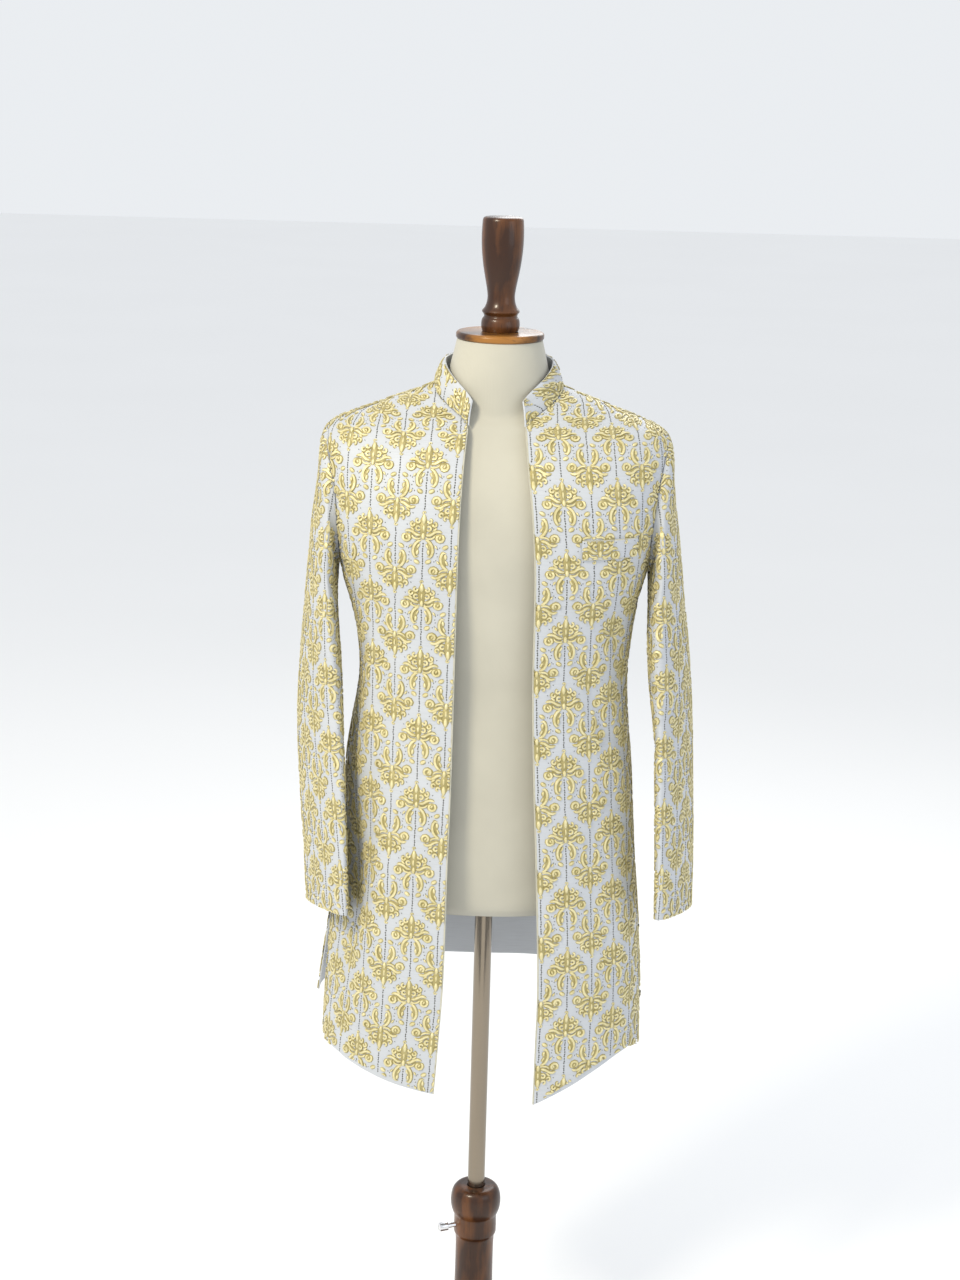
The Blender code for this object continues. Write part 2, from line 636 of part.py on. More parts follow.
def by_direction(values, point):
    """A value for the front, the side and the back, read at a point round the neck."""
    turn = abs(degrees(atan2(point.x, -point.y)))
    if turn < 90:
        return values[0] + (values[1] - values[0]) * smooth_step((turn - 20) / 70)
    return values[1] + (values[2] - values[1]) * smooth_step((turn - 90) / 90)


def make_collar():
    base = neck_base()
    outer, inner = [], []
    for row in range(COLLAR_ROWS + 1):
        share = row / COLLAR_ROWS
        line_out, line_in = [], []
        for point in base:
            radial = Vector((point.x, point.y, 0)).normalized()
            height = by_direction(COLLAR_HEIGHTS, point)
            lean = by_direction(COLLAR_LEANS, point)
            place = point + Vector((0, 0, SEAM_GAP * 1.6 + height * share))
            place -= radial * lean * (0.35 * share + 0.65 * share**2)
            line_out.append(place)
            line_in.append(place - radial * COLLAR_CLOTH)
        outer.append(line_out)
        inner.append(line_in)
    return make_wall("collar", outer, inner, "cloth")


def make_pocket_welt():
    columns, rows = 10, 3
    outer, inner = [], []
    for row in range(rows + 1):
        height = WELT_TOP - WELT_HEIGHT + WELT_HEIGHT * row / rows
        start, end = angle_at_x(WELT_INNER_X, height), angle_at_x(WELT_OUTER_X, height)
        line_out, line_in = [], []
        for i in range(columns + 1):
            angle = start + (end - start) * i / columns
            line_in.append(body_point(angle, height, 0.00045))
            line_out.append(body_point(angle, height, 0.00045 + WELT_CLOTH))
        outer.append(line_out)
        inner.append(line_in)
    return make_wall("pocket_welt", outer, inner, "cloth")


def form_point(angle, height):
    """A point of the dress form: the torso's section and the neck's run together into one."""
    torso = section_point(FORM_SECTIONS, angle, height)
    flat = Vector((torso.x, torso.y, 0))
    heading = flat.normalized()
    depth = read_table(NECK_SECTIONS, height, "front" if heading.y < 0 else "back")
    half_width = read_table(NECK_SECTIONS, height, "half_width")
    neck = 1 / sqrt((heading.x / half_width) ** 2 + (heading.y / depth) ** 2)
    reach = (flat.length**NECK_BLEND + neck**NECK_BLEND) ** (1 / NECK_BLEND)
    return heading * reach + Vector((0, 0, height))


def make_form():
    """The limbless torso, one smooth closed body from hips to neck."""
    shape = bmesh.new()
    rings = []
    for height in FORM_ROWS:
        ring = []
        for i in range(FORM_SIDES):
            ring.append(shape.verts.new(form_point(360 * (i + 0.5) / FORM_SIDES, height)))
        rings.append(ring)
    for lower, upper in zip(rings, rings[1:]):
        for i in range(FORM_SIDES):
            j = (i + 1) % FORM_SIDES
            shape.faces.new((lower[i], lower[j], upper[j], upper[i]))
    shape.faces.new(list(reversed(rings[0])))
    shape.faces.new(rings[-1])
    return make_object("form_torso", shape, "form_cover")


def make_turned(name, profile, material, sides=TURNED_SIDES):
    """A piece turned on the lathe: its profile of radii and heights, with a Screw modifier."""
    shape = bmesh.new()
    verts = [shape.verts.new((radius, 0, height)) for radius, height in profile]
    for first, second in zip(verts, verts[1:]):
        shape.edges.new((first, second))
    thing = make_object(name, shape, material)
    screw = thing.modifiers.new("turned", "SCREW")
    screw.steps = sides
    screw.render_steps = sides
    screw.use_merge_vertices = True
    screw.merge_threshold = 0.00005
    return thing


def make_stand():
    make_turned("neck_disc", NECK_DISC, "wood")
    make_turned("finial", FINIAL, "wood")
    flange_top = FORM_BOTTOM - SEAM_GAP
    pole = [
        (0.0, flange_top),
        (FLANGE_RADIUS, flange_top),
        (FLANGE_RADIUS, flange_top - FLANGE_THICKNESS * 0.6),
        (POLE_RADIUS + 0.006, flange_top - FLANGE_THICKNESS),
        (POLE_RADIUS, flange_top - FLANGE_THICKNESS - 0.008),
        (POLE_RADIUS, POLE_BOTTOM),
        (0.0, POLE_BOTTOM),
    ]
    make_turned("pole", pole, "pole_metal")
    bore = [(0.0, COLUMN_FLOOR), (BORE_RADIUS, COLUMN_FLOOR), (BORE_RADIUS, COLUMN[0][1])]
    make_turned("column", list(reversed([(0.0, COLUMN[-1][1])] + list(reversed(COLUMN)) + list(reversed(bore)))), "wood")
    make_turned("base", BASE, "base_wood", sides=48)


def make_clamp_screw():
    """The thumb screw that clamps the pole, its stem's end against the column."""
    start = 0.0300 * cos(pi / TURNED_SIDES) + SEAM_GAP
    reach = start + SCREW_STEM
    profile = [
        (0.0, reach + SCREW_KNOB),
        (SCREW_KNOB_RADIUS * 0.8, reach + SCREW_KNOB),
        (SCREW_KNOB_RADIUS, reach + SCREW_KNOB * 0.85),
        (SCREW_KNOB_RADIUS, reach + SCREW_KNOB * 0.12),
        (SCREW_KNOB_RADIUS * 0.85, reach),
        (SCREW_STEM_RADIUS, reach),
        (SCREW_STEM_RADIUS, start),
        (0.0, start),
    ]
    thing = make_turned("clamp_screw", profile, "screw_metal", sides=16)
    turn = round(SCREW_ANGLE / (360 / TURNED_SIDES) - 0.5) + 0.5
    heading = Matrix.Rotation(radians(turn * 360 / TURNED_SIDES), 4, "Z")
    thing.matrix_world = Matrix.Translation((0, 0, SCREW_HEIGHT)) @ heading @ Matrix.Rotation(pi / 2, 4, "Y")
    return thing


def main():
    clear_scene()
    collection = bpy.data.collections.new("sherwani_coat")
    bpy.context.scene.collection.children.link(collection)
    make_materials()
    make_panel("front_right", front_grid(-1), body_point, flip=True)
    make_panel("front_left", front_grid(1), body_point, flip=False)
    make_panel("back", back_grid(), back_point, flip=False)
    make_sleeve(-1, "right")
    make_sleeve(1, "left")
    make_collar()
    make_pocket_welt()
    make_form()
    make_stand()
    make_clamp_screw()
    for thing in collection.objects:
        thing.matrix_world = Matrix.Translation((STAND_SHIFT, 0, 0)) @ thing.matrix_world


main()
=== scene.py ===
"""Looks of an open-front sherwani coat on a limbless dress form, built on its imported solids.

Metres, +Z up. The coat faces -Y and +X is the wearer's left. Every panel is a thin shell on the
same smooth form as its solid, found from an angle round the body and a height. The embroidery is
laid out flat on each panel, as on cut cloth, and then carried onto the shell.
"""

from collections import namedtuple
from math import cos, pi, radians, sin

import bpy
import numpy as np
from mathutils import Matrix, Vector


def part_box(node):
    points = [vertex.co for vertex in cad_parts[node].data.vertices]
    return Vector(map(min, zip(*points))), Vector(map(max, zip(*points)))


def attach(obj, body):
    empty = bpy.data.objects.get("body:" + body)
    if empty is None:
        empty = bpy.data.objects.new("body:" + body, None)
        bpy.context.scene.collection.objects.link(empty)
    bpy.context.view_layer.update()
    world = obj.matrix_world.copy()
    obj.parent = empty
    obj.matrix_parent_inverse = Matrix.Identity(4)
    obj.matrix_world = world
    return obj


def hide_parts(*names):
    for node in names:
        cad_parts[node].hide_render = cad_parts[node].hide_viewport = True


bl_info = {
    "name": "Sherwani coat on a dress form",
    "version": (1, 0, 0),
    "blender": (4, 5, 0),
    "location": "View3D > Sidebar > Sherwani",
    "description": "Makes the coat's cloth, embroidery and stand round the packed solids",
    "category": "Object",
}

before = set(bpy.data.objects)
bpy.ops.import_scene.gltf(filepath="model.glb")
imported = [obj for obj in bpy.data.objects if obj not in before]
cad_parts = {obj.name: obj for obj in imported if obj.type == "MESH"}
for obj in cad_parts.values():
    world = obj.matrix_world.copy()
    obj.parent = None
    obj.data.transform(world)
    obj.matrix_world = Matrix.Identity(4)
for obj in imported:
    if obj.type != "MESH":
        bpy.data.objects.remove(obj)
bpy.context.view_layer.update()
POLE_BOX = np.array([list(corner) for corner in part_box("pole")])
STAND_X = float(POLE_BOX[:, 0].mean())
MM = 0.001

# The coat's construction, as in the solids
SEAM_GAP = 0.0003
HEM_HEIGHT = 0.530
VENT_TOP = 0.820
SHOULDER_TIP_HEIGHT = 1.4235
UNDERARM_HEIGHT = 1.2425
NECK_POINT_HEIGHT = 1.479
FRONT_NECK_HEIGHT = 1.436
NECK_HALF_WIDTH = 0.083
NECK_CURVE = 1.4
ARMHOLE_FRONT = 0.071
ARMHOLE_BACK = 0.073

Section = namedtuple("Section", "height half_width front back power")
COAT_SECTIONS = [
    Section(0.500, 0.2210, 0.1510, 0.1510, 2.40),
    Section(0.620, 0.2180, 0.1475, 0.1500, 2.40),
    Section(0.740, 0.2120, 0.1430, 0.1460, 2.40),
    Section(0.860, 0.2005, 0.1390, 0.1400, 2.40),
    Section(0.970, 0.1920, 0.1345, 0.1280, 2.45),
    Section(1.080, 0.1815, 0.1290, 0.1160, 2.50),
    Section(1.140, 0.1830, 0.1300, 0.1180, 2.55),
    Section(1.200, 0.1905, 0.1335, 0.1260, 2.60),
    Section(UNDERARM_HEIGHT, 0.2000, 0.1355, 0.1320, 2.80),
    Section(1.300, 0.2110, 0.1345, 0.1345, 3.00),
    Section(1.350, 0.2195, 0.1260, 0.1310, 3.00),
    Section(1.395, 0.2270, 0.1060, 0.1190, 2.80),
    Section(SHOULDER_TIP_HEIGHT, 0.2170, 0.0845, 0.1060, 2.50),
    Section(1.4375, 0.1900, 0.0710, 0.0990, 2.30),
    Section(1.4475, 0.1630, 0.0600, 0.0940, 2.20),
    Section(1.4585, 0.1350, 0.0480, 0.0880, 2.10),
    Section(1.4690, 0.1060, 0.0350, 0.0820, 2.00),
    Section(NECK_POINT_HEIGHT, NECK_HALF_WIDTH, 0.0220, 0.0760, 2.00),
    Section(1.4890, 0.0600, 0.0120, 0.0700, 2.00),
]

FrontEdge = namedtuple("FrontEdge", "height right left")
FRONT_EDGES = [
    FrontEdge(0.500, 0.0640, 0.0725),
    FrontEdge(0.600, 0.0580, 0.0735),
    FrontEdge(0.700, 0.0530, 0.0740),
    FrontEdge(0.860, 0.0510, 0.0670),
    FrontEdge(0.965, 0.0490, 0.0610),
    FrontEdge(1.100, 0.0480, 0.0550),
    FrontEdge(1.250, 0.0470, 0.0530),
    FrontEdge(1.330, 0.0455, 0.0475),
    FrontEdge(1.390, 0.0425, 0.0405),
    FrontEdge(FRONT_NECK_HEIGHT, 0.0385, 0.0360),
]

HemRise = namedtuple("HemRise", "share right left")
HEM_RISES = [
    HemRise(0.00, 0.0145, 0.0025),
    HemRise(0.18, 0.0230, 0.0240),
    HemRise(0.36, 0.0335, 0.0435),
    HemRise(0.55, 0.0405, 0.0570),
    HemRise(0.75, 0.0445, 0.0580),
    HemRise(1.00, 0.0430, 0.0420),
]
BACK_HEM_RISE = 0.098

# Soft folds: angle round the body, height, half spans, slant of the crease in degrees for each
# metre of height, and how far it stands out (minus sinks in)
Fold = namedtuple("Fold", "angle height half_angle half_height slant depth")
FOLDS = [
    Fold(-66, 0.80, 18, 0.140, 0, -0.0200),
    Fold(-88, 1.115, 24, 0.085, 0, -0.0080),
    Fold(-58, 1.10, 7, 0.130, 20, 0.0030),
    Fold(-45, 1.12, 6, 0.120, 12, -0.0026),
    Fold(-38, 0.72, 9, 0.160, -10, 0.0030),
    Fold(-62, 0.66, 8, 0.120, -8, -0.0028),
    Fold(56, 1.17, 8, 0.070, -150, -0.0030),
    Fold(50, 1.05, 8, 0.070, -150, -0.0032),
    Fold(60, 0.98, 8, 0.080, -90, 0.0030),
    Fold(44, 0.80, 9, 0.100, -60, -0.0030),
    Fold(58, 0.70, 9, 0.120, -30, 0.0028),
    Fold(150, 1.09, 8, 0.120, 20, -0.0030),
    Fold(-152, 1.10, 8, 0.120, -20, -0.0032),
    Fold(126, 1.00, 9, 0.120, 40, 0.0026),
    Fold(-128, 0.99, 9, 0.130, -30, 0.0028),
    Fold(162, 0.76, 11, 0.200, 8, 0.0040),
    Fold(-158, 0.74, 12, 0.190, -6, 0.0038),
    Fold(180, 0.74, 9, 0.220, 0, -0.0034),
    Fold(132, 0.72, 10, 0.160, 0, -0.0030),
    Fold(-136, 0.71, 10, 0.160, 0, -0.0032),
]
# Finer creases that only the shells have
CREASES = [
    Fold(-52, 1.175, 3.6, 0.050, 160, -0.0012),
    Fold(-62, 1.140, 3.4, 0.045, 190, -0.0013),
    Fold(-34, 1.020, 3.4, 0.085, 14, -0.0010),
    Fold(-50, 0.905, 4.0, 0.075, -34, -0.0013),
    Fold(-30, 0.790, 3.8, 0.100, -12, -0.0011),
    Fold(-46, 0.650, 4.0, 0.080, 16, -0.0012),
    Fold(-74, 1.010, 4.6, 0.060, 60, -0.0012),
    Fold(36, 1.130, 3.4, 0.060, -180, -0.0012),
    Fold(66, 1.120, 3.8, 0.055, -220, -0.0013),
    Fold(42, 0.925, 3.8, 0.060, -120, -0.0013),
    Fold(66, 0.860, 4.0, 0.060, -60, -0.0011),
    Fold(34, 0.690, 3.6, 0.090, -24, -0.0011),
    Fold(70, 0.650, 4.2, 0.070, 20, -0.0012),
    Fold(106, 1.160, 4.2, 0.055, 200, -0.0013),
    Fold(118, 1.080, 4.0, 0.060, 170, -0.0012),
    Fold(140, 0.900, 4.2, 0.090, 40, -0.0012),
    Fold(172, 1.060, 4.0, 0.080, 10, -0.0011),
    Fold(-168, 1.130, 3.8, 0.070, -30, -0.0012),
    Fold(-112, 1.150, 4.2, 0.055, -210, -0.0013),
    Fold(-120, 1.070, 4.0, 0.060, -160, -0.0012),
    Fold(-142, 0.880, 4.4, 0.090, -36, -0.0012),
    Fold(-108, 0.800, 4.2, 0.080, -20, -0.0011),
    Fold(112, 0.740, 4.2, 0.090, 16, -0.0012),
    Fold(-172, 0.900, 4.2, 0.080, 12, -0.0010),
]
VENT_FLARE_RIGHT = 0.014
VENT_FLARE_LEFT = 0.003
VENT_FLARE_ANGLE = 24
FOLDS_TOP = 1.23
FOLDS_FADE = 0.05

Ring = namedtuple("Ring", "out_x out_z in_x in_z half_depth forward twist lift")
SLEEVE_HEAD = [
    Ring(0.2250, 1.4185, 0.2014, 1.2405, 0.0725, 0.000, 0, 0.0),
    Ring(0.2292, 1.4085, 0.2022, 1.2380, 0.0742, 0.000, 0, 0.0),
    Ring(0.2310, 1.3930, 0.2030, 1.2345, 0.0755, 0.000, 1, 0.0),
    Ring(0.2320, 1.3720, 0.2036, 1.2300, 0.0765, 0.001, 2, 0.0),
    Ring(0.2345, 1.3460, 0.2042, 1.2240, 0.0772, 0.002, 3, 0.0),
    Ring(0.2380, 1.3170, 0.2046, 1.2150, 0.0778, 0.003, 4, 0.0),
]
LEFT_ARM = [
    Ring(0.2430, 1.2880, 0.2048, 1.2030, 0.0782, 0.004, 5, 0.0),
    Ring(0.2475, 1.2570, 0.2046, 1.1880, 0.0784, 0.006, 7, 0.0),
    Ring(0.2535, 1.2100, 0.2045, 1.1600, 0.0782, 0.008, 9, 0.0),
    Ring(0.2615, 1.1550, 0.2065, 1.1200, 0.0778, 0.011, 11, 0.002),
    Ring(0.2690, 1.0950, 0.2115, 1.0700, 0.0770, 0.014, 13, 0.004),
    Ring(0.2750, 1.0350, 0.2180, 1.0180, 0.0758, 0.018, 16, 0.006),
    Ring(0.2785, 0.9750, 0.2205, 0.9640, 0.0742, 0.023, 17, 0.008),
    Ring(0.2815, 0.9100, 0.2230, 0.9040, 0.0720, 0.029, 18, 0.010),
    Ring(0.2840, 0.8450, 0.2255, 0.8420, 0.0695, 0.035, 19, 0.011),
    Ring(0.2850, 0.7730, 0.2275, 0.7730, 0.0655, 0.041, 20, 0.0115),
]
RIGHT_ARM = [
    Ring(0.2415, 1.2880, 0.2048, 1.2030, 0.0782, 0.004, 5, 0.0),
    Ring(0.2445, 1.2570, 0.2040, 1.1880, 0.0784, 0.006, 7, 0.0),
    Ring(0.2485, 1.2100, 0.2015, 1.1600, 0.0782, 0.008, 9, 0.0),
    Ring(0.2530, 1.1550, 0.1975, 1.1200, 0.0778, 0.012, 12, 0.002),
    Ring(0.2570, 1.0950, 0.1940, 1.0700, 0.0770, 0.016, 15, 0.004),
    Ring(0.2595, 1.0350, 0.1915, 1.0180, 0.0758, 0.022, 18, 0.006),
    Ring(0.2580, 0.9750, 0.1885, 0.9640, 0.0742, 0.029, 20, 0.008),
    Ring(0.2535, 0.9100, 0.1860, 0.9040, 0.0720, 0.036, 21, 0.010),
    Ring(0.2485, 0.8450, 0.1835, 0.8420, 0.0695, 0.043, 22, 0.011),
    Ring(0.2440, 0.7700, 0.1810, 0.7700, 0.0655, 0.049, 23, 0.0115),
]
LEAST_SLEEVE_THICKNESS = 0.012
SLEEVE_SEAM_PULL = 0.00024
FRONT_ARM_SEAM = 8 / 24
BACK_ARM_SEAM = -7 / 24
ELBOW_HEIGHT = 1.060
ELBOW_CREASE = 0.0028
ELBOW_REACH = 0.035
HEAD_ROWS = 7

# Creases of the sleeves: the share of a turn from the outer line (plus is to the front), height,
# half spans, how the share drifts for each metre of height, and depth
SleeveCrease = namedtuple("SleeveCrease", "share height half_share half_height slant depth")
SLEEVE_CREASES = [
    SleeveCrease(0.30, 1.085, 0.060, 0.010, 0.9, -0.0016),
    SleeveCrease(0.26, 1.050, 0.070, 0.009, -1.1, -0.0018),
    SleeveCrease(0.33, 1.020, 0.055, 0.010, 0.8, -0.0014),
    SleeveCrease(0.14, 1.150, 0.030, 0.050, 0.6, -0.0012),
    SleeveCrease(0.24, 1.205, 0.035, 0.040, -0.9, -0.0014),
    SleeveCrease(0.10, 0.960, 0.028, 0.060, -0.4, -0.0010),
    SleeveCrease(0.20, 0.880, 0.030, 0.060, 0.5, -0.0011),
    SleeveCrease(-0.20, 1.180, 0.036, 0.050, 0.8, -0.0014),
    SleeveCrease(-0.26, 1.060, 0.040, 0.050, -0.6, -0.0013),
    SleeveCrease(-0.16, 0.920, 0.032, 0.070, 0.4, -0.0011),
    SleeveCrease(0.46, 1.060, 0.050, 0.020, 0.6, -0.0012),
    SleeveCrease(-0.36, 0.980, 0.040, 0.050, -0.5, -0.0011),
]

COLLAR_CLOTH = 0.0026
COLLAR_HEIGHTS = (0.031, 0.033, 0.040)
COLLAR_LEANS = (0.009, 0.0125, 0.009)

WELT_INNER_X = 0.110
WELT_OUTER_X = 0.181
WELT_TOP = 1.3025
WELT_HEIGHT = 0.0240
WELT_CLOTH = 0.0016
WELT_CLEAR = 0.00045
WELT_CORD = 0.0009

FORM_SECTIONS = [
    Section(0.780, 0.1500, 0.0940, 0.1020, 2.30),
    Section(0.792, 0.1590, 0.1010, 0.1090, 2.30),
    Section(0.830, 0.1640, 0.1045, 0.1130, 2.30),
    Section(0.900, 0.1650, 0.1060, 0.1150, 2.30),
    Section(0.990, 0.1570, 0.1020, 0.1060, 2.30),
    Section(1.080, 0.1490, 0.1000, 0.0960, 2.30),
    Section(1.150, 0.1540, 0.1060, 0.1000, 2.30),
    Section(UNDERARM_HEIGHT, 0.1700, 0.1180, 0.1150, 2.40),
    Section(1.300, 0.1850, 0.1190, 0.1200, 2.50),
    Section(1.350, 0.1980, 0.1100, 0.1170, 2.50),
    Section(1.395, 0.2060, 0.0900, 0.1060, 2.40),
    Section(1.4200, 0.2020, 0.0720, 0.0960, 2.20),
    Section(1.4341, 0.1893, 0.0640, 0.0945, 2.10),
    Section(1.4441, 0.1623, 0.0540, 0.0900, 2.00),
    Section(1.4551, 0.1343, 0.0425, 0.0850, 2.00),
    Section(1.4656, 0.1053, 0.0290, 0.0790, 1.90),
    Section(1.4754, 0.0800, 0.0180, 0.0725, 1.90),
    Section(1.4820, 0.0640, 0.0150, 0.0660, 1.90),
    Section(1.5380, 0.0400, 0.0150, 0.0400, 2.00),
]
NECK_SECTIONS = [
    Section(1.3000, 0.0300, 0.0300, 0.0300, 2.00),
    Section(1.4300, 0.0620, 0.0520, 0.0620, 2.00),
    Section(1.4500, 0.0655, 0.0560, 0.0650, 2.00),
    Section(1.4700, 0.0660, 0.0555, 0.0655, 2.00),
    Section(1.4880, 0.0650, 0.0550, 0.0640, 2.00),
    Section(1.5050, 0.0625, 0.0550, 0.0600, 2.00),
    Section(1.5200, 0.0592, 0.0550, 0.0572, 2.00),
    Section(1.5380, 0.0550, 0.0545, 0.0545, 2.00),
]
NECK_BLEND = 14
FORM_BOTTOM = 0.780
FORM_TOP = 1.5378

# Turned pieces: radius and height up the outer side, from the middle of the underside
NECK_DISC = [
    (0.0545, 1.5381), (0.0566, 1.5398), (0.0568, 1.5425), (0.0566, 1.5452), (0.0545, 1.5472),
    (0.0525, 1.5475),
]
FINIAL = [
    (0.0232, 1.5478), (0.0244, 1.5520), (0.0249, 1.5560), (0.0246, 1.5605), (0.0236, 1.5640),
    (0.0214, 1.5670), (0.0222, 1.5700), (0.0243, 1.5735), (0.0208, 1.5785), (0.0184, 1.5850),
    (0.0176, 1.5930), (0.0192, 1.6050), (0.0221, 1.6200), (0.0246, 1.6350), (0.0265, 1.6530),
    (0.0270, 1.6700), (0.0262, 1.6880), (0.0250, 1.6915), (0.0225, 1.6928),
]
COLUMN = [
    (0.0430, 0.0303), (0.0430, 0.0400), (0.0420, 0.0500), (0.0345, 0.0650), (0.0305, 0.1100),
    (0.0275, 0.1700), (0.0268, 0.2300), (0.0275, 0.2580), (0.0300, 0.2640), (0.0300, 0.2900),
    (0.0325, 0.2960), (0.0350, 0.3060), (0.0350, 0.3180), (0.0320, 0.3290), (0.0260, 0.3345),
    (0.0150, 0.3350), (0.0131, 0.3350), (0.0123, 0.3343), (0.0123, 0.3330), (0.0123, 0.0360),
    (0.0123, 0.0345), (0.0120, 0.0340),
]
POLE = [
    (0.0108, 0.1900), (0.0120, 0.1912), (0.0120, 0.7610), (0.0130, 0.7650), (0.0150, 0.7680),
    (0.0185, 0.7700), (0.0385, 0.7734), (0.0400, 0.7745), (0.0400, 0.7788), (0.0392, 0.7797),
]
# The thumb screw's radii and its reach from the stand's axis, its height and its direction
SCREW = [
    (0.0031, 0.0301), (0.0035, 0.0304), (0.0035, 0.0420), (0.0052, 0.0421), (0.0060, 0.0426),
    (0.0062, 0.0436), (0.0062, 0.0532), (0.0059, 0.0544), (0.0050, 0.0550),
]
SCREW_HEIGHT = 0.277
SCREW_ANGLE = 202.5
BASE = [
    (0.2080, 0.0), (0.2108, 0.0014), (0.2120, 0.0040), (0.2120, 0.0180), (0.2100, 0.0226),
    (0.2060, 0.0260), (0.1980, 0.0285), (0.1900, 0.0298), (0.1850, 0.0300),
]

# How finely the shells are divided
SKIRT_ROWS = 58
WAIST_ROWS = 84
ARMHOLE_ROWS = 44
SHOULDER_ROWS = 4
NECK_ROWS = 14
FRONT_COLUMNS = 42
BACK_COLUMNS = 84
SLEEVE_ROW_LENGTH = 0.0055
SLEEVE_COLUMNS = 96
COLLAR_SIDE_COLUMNS = 16
COLLAR_BACK_COLUMNS = 44
COLLAR_ROWS = 12
FORM_SIDES = 96
TURNED_SIDES = 72
TIGHT = (0.0, 0.0008, 0.0024)
EDGE_WEIGHTS = (1.0, 0.42, 0.06)
EDGE_ROLL = 0.15
WELT_ROWS = 8
WELT_COLUMNS = 22
WELT_TIGHT_ROWS = (0.0, 0.0006, 0.0016)
WELT_TIGHT_COLUMNS = (0.0, 0.010, 0.026)
FORM_FOOT = (0.0, 0.0006, 0.002, 0.0045, 0.008, 0.012, 0.018, 0.026)
FORM_BODY = (0.815, 1.40, 90)
FORM_NECK = (1.405, FORM_TOP, 60)

# How wide the panels are, roughly, where their columns crowd towards an edge
FRONT_WIDTH = 0.19
BACK_WIDTH = 0.40
SLEEVE_ROUND = 0.36
COLLAR_SIDE = 0.12

# How the panels are laid flat: the line up each that its lengths are measured on, in degrees, the
# angles that it is read between, and how finely
FRONT_GUIDE = 40
FRONT_FAR = 92
FRONT_FLAT_COLUMNS = 64
FRONT_HEM_WIDTH = 0.20
BACK_GUIDE = 160
BACK_NEAR = 88
BACK_FLAT_COLUMNS = 129
SLEEVE_FLAT_COLUMNS = 145
SLEEVE_FLAT_ROWS = 220
COLLAR_FLAT_ROWS = 40
WELT_FLAT_ROWS = 24
FLAT_ROWS = 260
GUIDE_ROWS = 400

# The embroidery's motif, in millimetres from its middle, x across and y up: the pieces on its
# middle line, those of one half, which the other half mirrors, and small dark stitches beside it.
# A stroke is a thread's path, a curl an arc, and a leaf a short filled petal.
Stroke = namedtuple("Stroke", "width points")
Curl = namedtuple("Curl", "width x y radius start sweep")
Leaf = namedtuple("Leaf", "width x y length angle")
MIDDLE = [
    Leaf(7.4, 0, 22.6, 12.4, 90),
    Curl(2.6, 0, 30.6, 1.8, 250, 330),
    Leaf(4.2, 0, 11.0, 8.4, 90),
    Leaf(6.8, 0, 0.6, 9, 90),
]
SIDES = [
    Curl(4.4, 7.6, 20.8, 2.8, 100, -310),
    Curl(4.4, 13.8, 16.4, 2.8, 120, -330),
    Curl(4.6, 6.8, 11.4, 3.1, 200, 330),
    Leaf(4.6, 14.4, 10.0, 7.4, 40),
    Stroke(5.2, ((3.2, 2.6), (8.8, 3.0), (13.6, 6.4), (18.8, 8.0), (24.4, 6.4))),
    Curl(5.2, 21.4, -1.0, 5.1, 75, -335),
    Leaf(4.2, 21.0, -0.8, 5.0, 60),
    Stroke(4.0, ((2.6, -1.8), (7.4, -2.6), (12.0, -1.4), (15.2, 1.8))),
    Stroke(5.4, ((2.0, -3.4), (7.4, -5.8), (11.4, -11.6), (12.4, -19.4), (9.2, -26.0), (5.2, -25.2))),
    Leaf(5.2, 7.0, -20.0, 7.4, 98),
    Leaf(3.8, 5.4, -11.8, 7.4, 118),
    Leaf(6.8, 7.4, -32.4, 8.4, 30),
    Leaf(3.6, 16.2, -12.4, 5.6, -52),
]
# Low padding stitched under the strokes, painted darker than them as shade between the raised strokes
MIDDLE_PADS = [Leaf(12, 0, 14, 27, 90)]
SIDE_PADS = [
    Leaf(12, 20.8, -0.4, 15, 0),
    Leaf(7, 10, 3.8, 16, 20),
    Leaf(8, 9.4, -16, 22, 102),
    Leaf(7, 10.8, 15.4, 12, -30),
]
SPARKS = [
    Leaf(1.7, 18.6, -15.4, 2.2, 80),
    Leaf(1.7, 18.4, -24.6, 2.2, 20),
    Leaf(1.7, 14.6, -31.6, 2.2, 80),
    Leaf(1.7, 25.4, -12.6, 2.2, 120),
    Leaf(1.7, 21.4, 15.4, 2.2, 40),
]
CURVE_SAMPLES = 9
LEAF_SAMPLES = 6
PAD_SAMPLES = 5
SPARK_SAMPLES = 3
CHAIN_PITCH = 0.0033
CHAIN_LENGTH = 0.0029
CHAIN_WIDTH = 0.0027
CHAIN_TOP = -0.0085
CHAIN_FOOT = -0.0565
CUT_MARGIN = 0.0008
SEED = 7

# Where the motifs start on a panel: the first column across it and the first middle along it,
# which on a front is a height
Start = namedtuple("Start", "across along")
STARTS = {
    "right": Start(0.0440, 0.6745),
    "left": Start(0.0400, 0.8110),
    "back": Start(0.0, 0.147),
    "sleeve": Start(0.012, 0.045),
    "collar": Start(0.018, 0.005),
    "welt": Start(0.024, 0.006),
}

# The camera, at the photograph's viewing angle
CAMERA_PLACE = (-0.0233, -2.96, 1.929)
CAMERA_PITCH = 15.0
CAMERA_ROLL = 1.55
CAMERA_LENS = 64.69
FLOOR_SIZE = 40.0

# The studio light: square lights aimed at the coat, and a pale sky
Light = namedtuple("Light", "name place size power colour")
LIGHTS = [
    Light("key", (-1.7, -2.0, 3.3), 0.7, 80, (1.0, 0.92, 0.74)),
    Light("fill", (2.3, -2.0, 1.9), 1.6, 9, (0.84, 0.92, 1.0)),
    Light("rim", (0.6, 2.3, 2.6), 1.4, 18, (1.0, 1.0, 1.0)),
]
LIGHT_AIM = (0, 0, 1.1)
SKY_COLOUR = (0.94, 0.968, 1.0, 1)
SKY_STRENGTH = 0.88


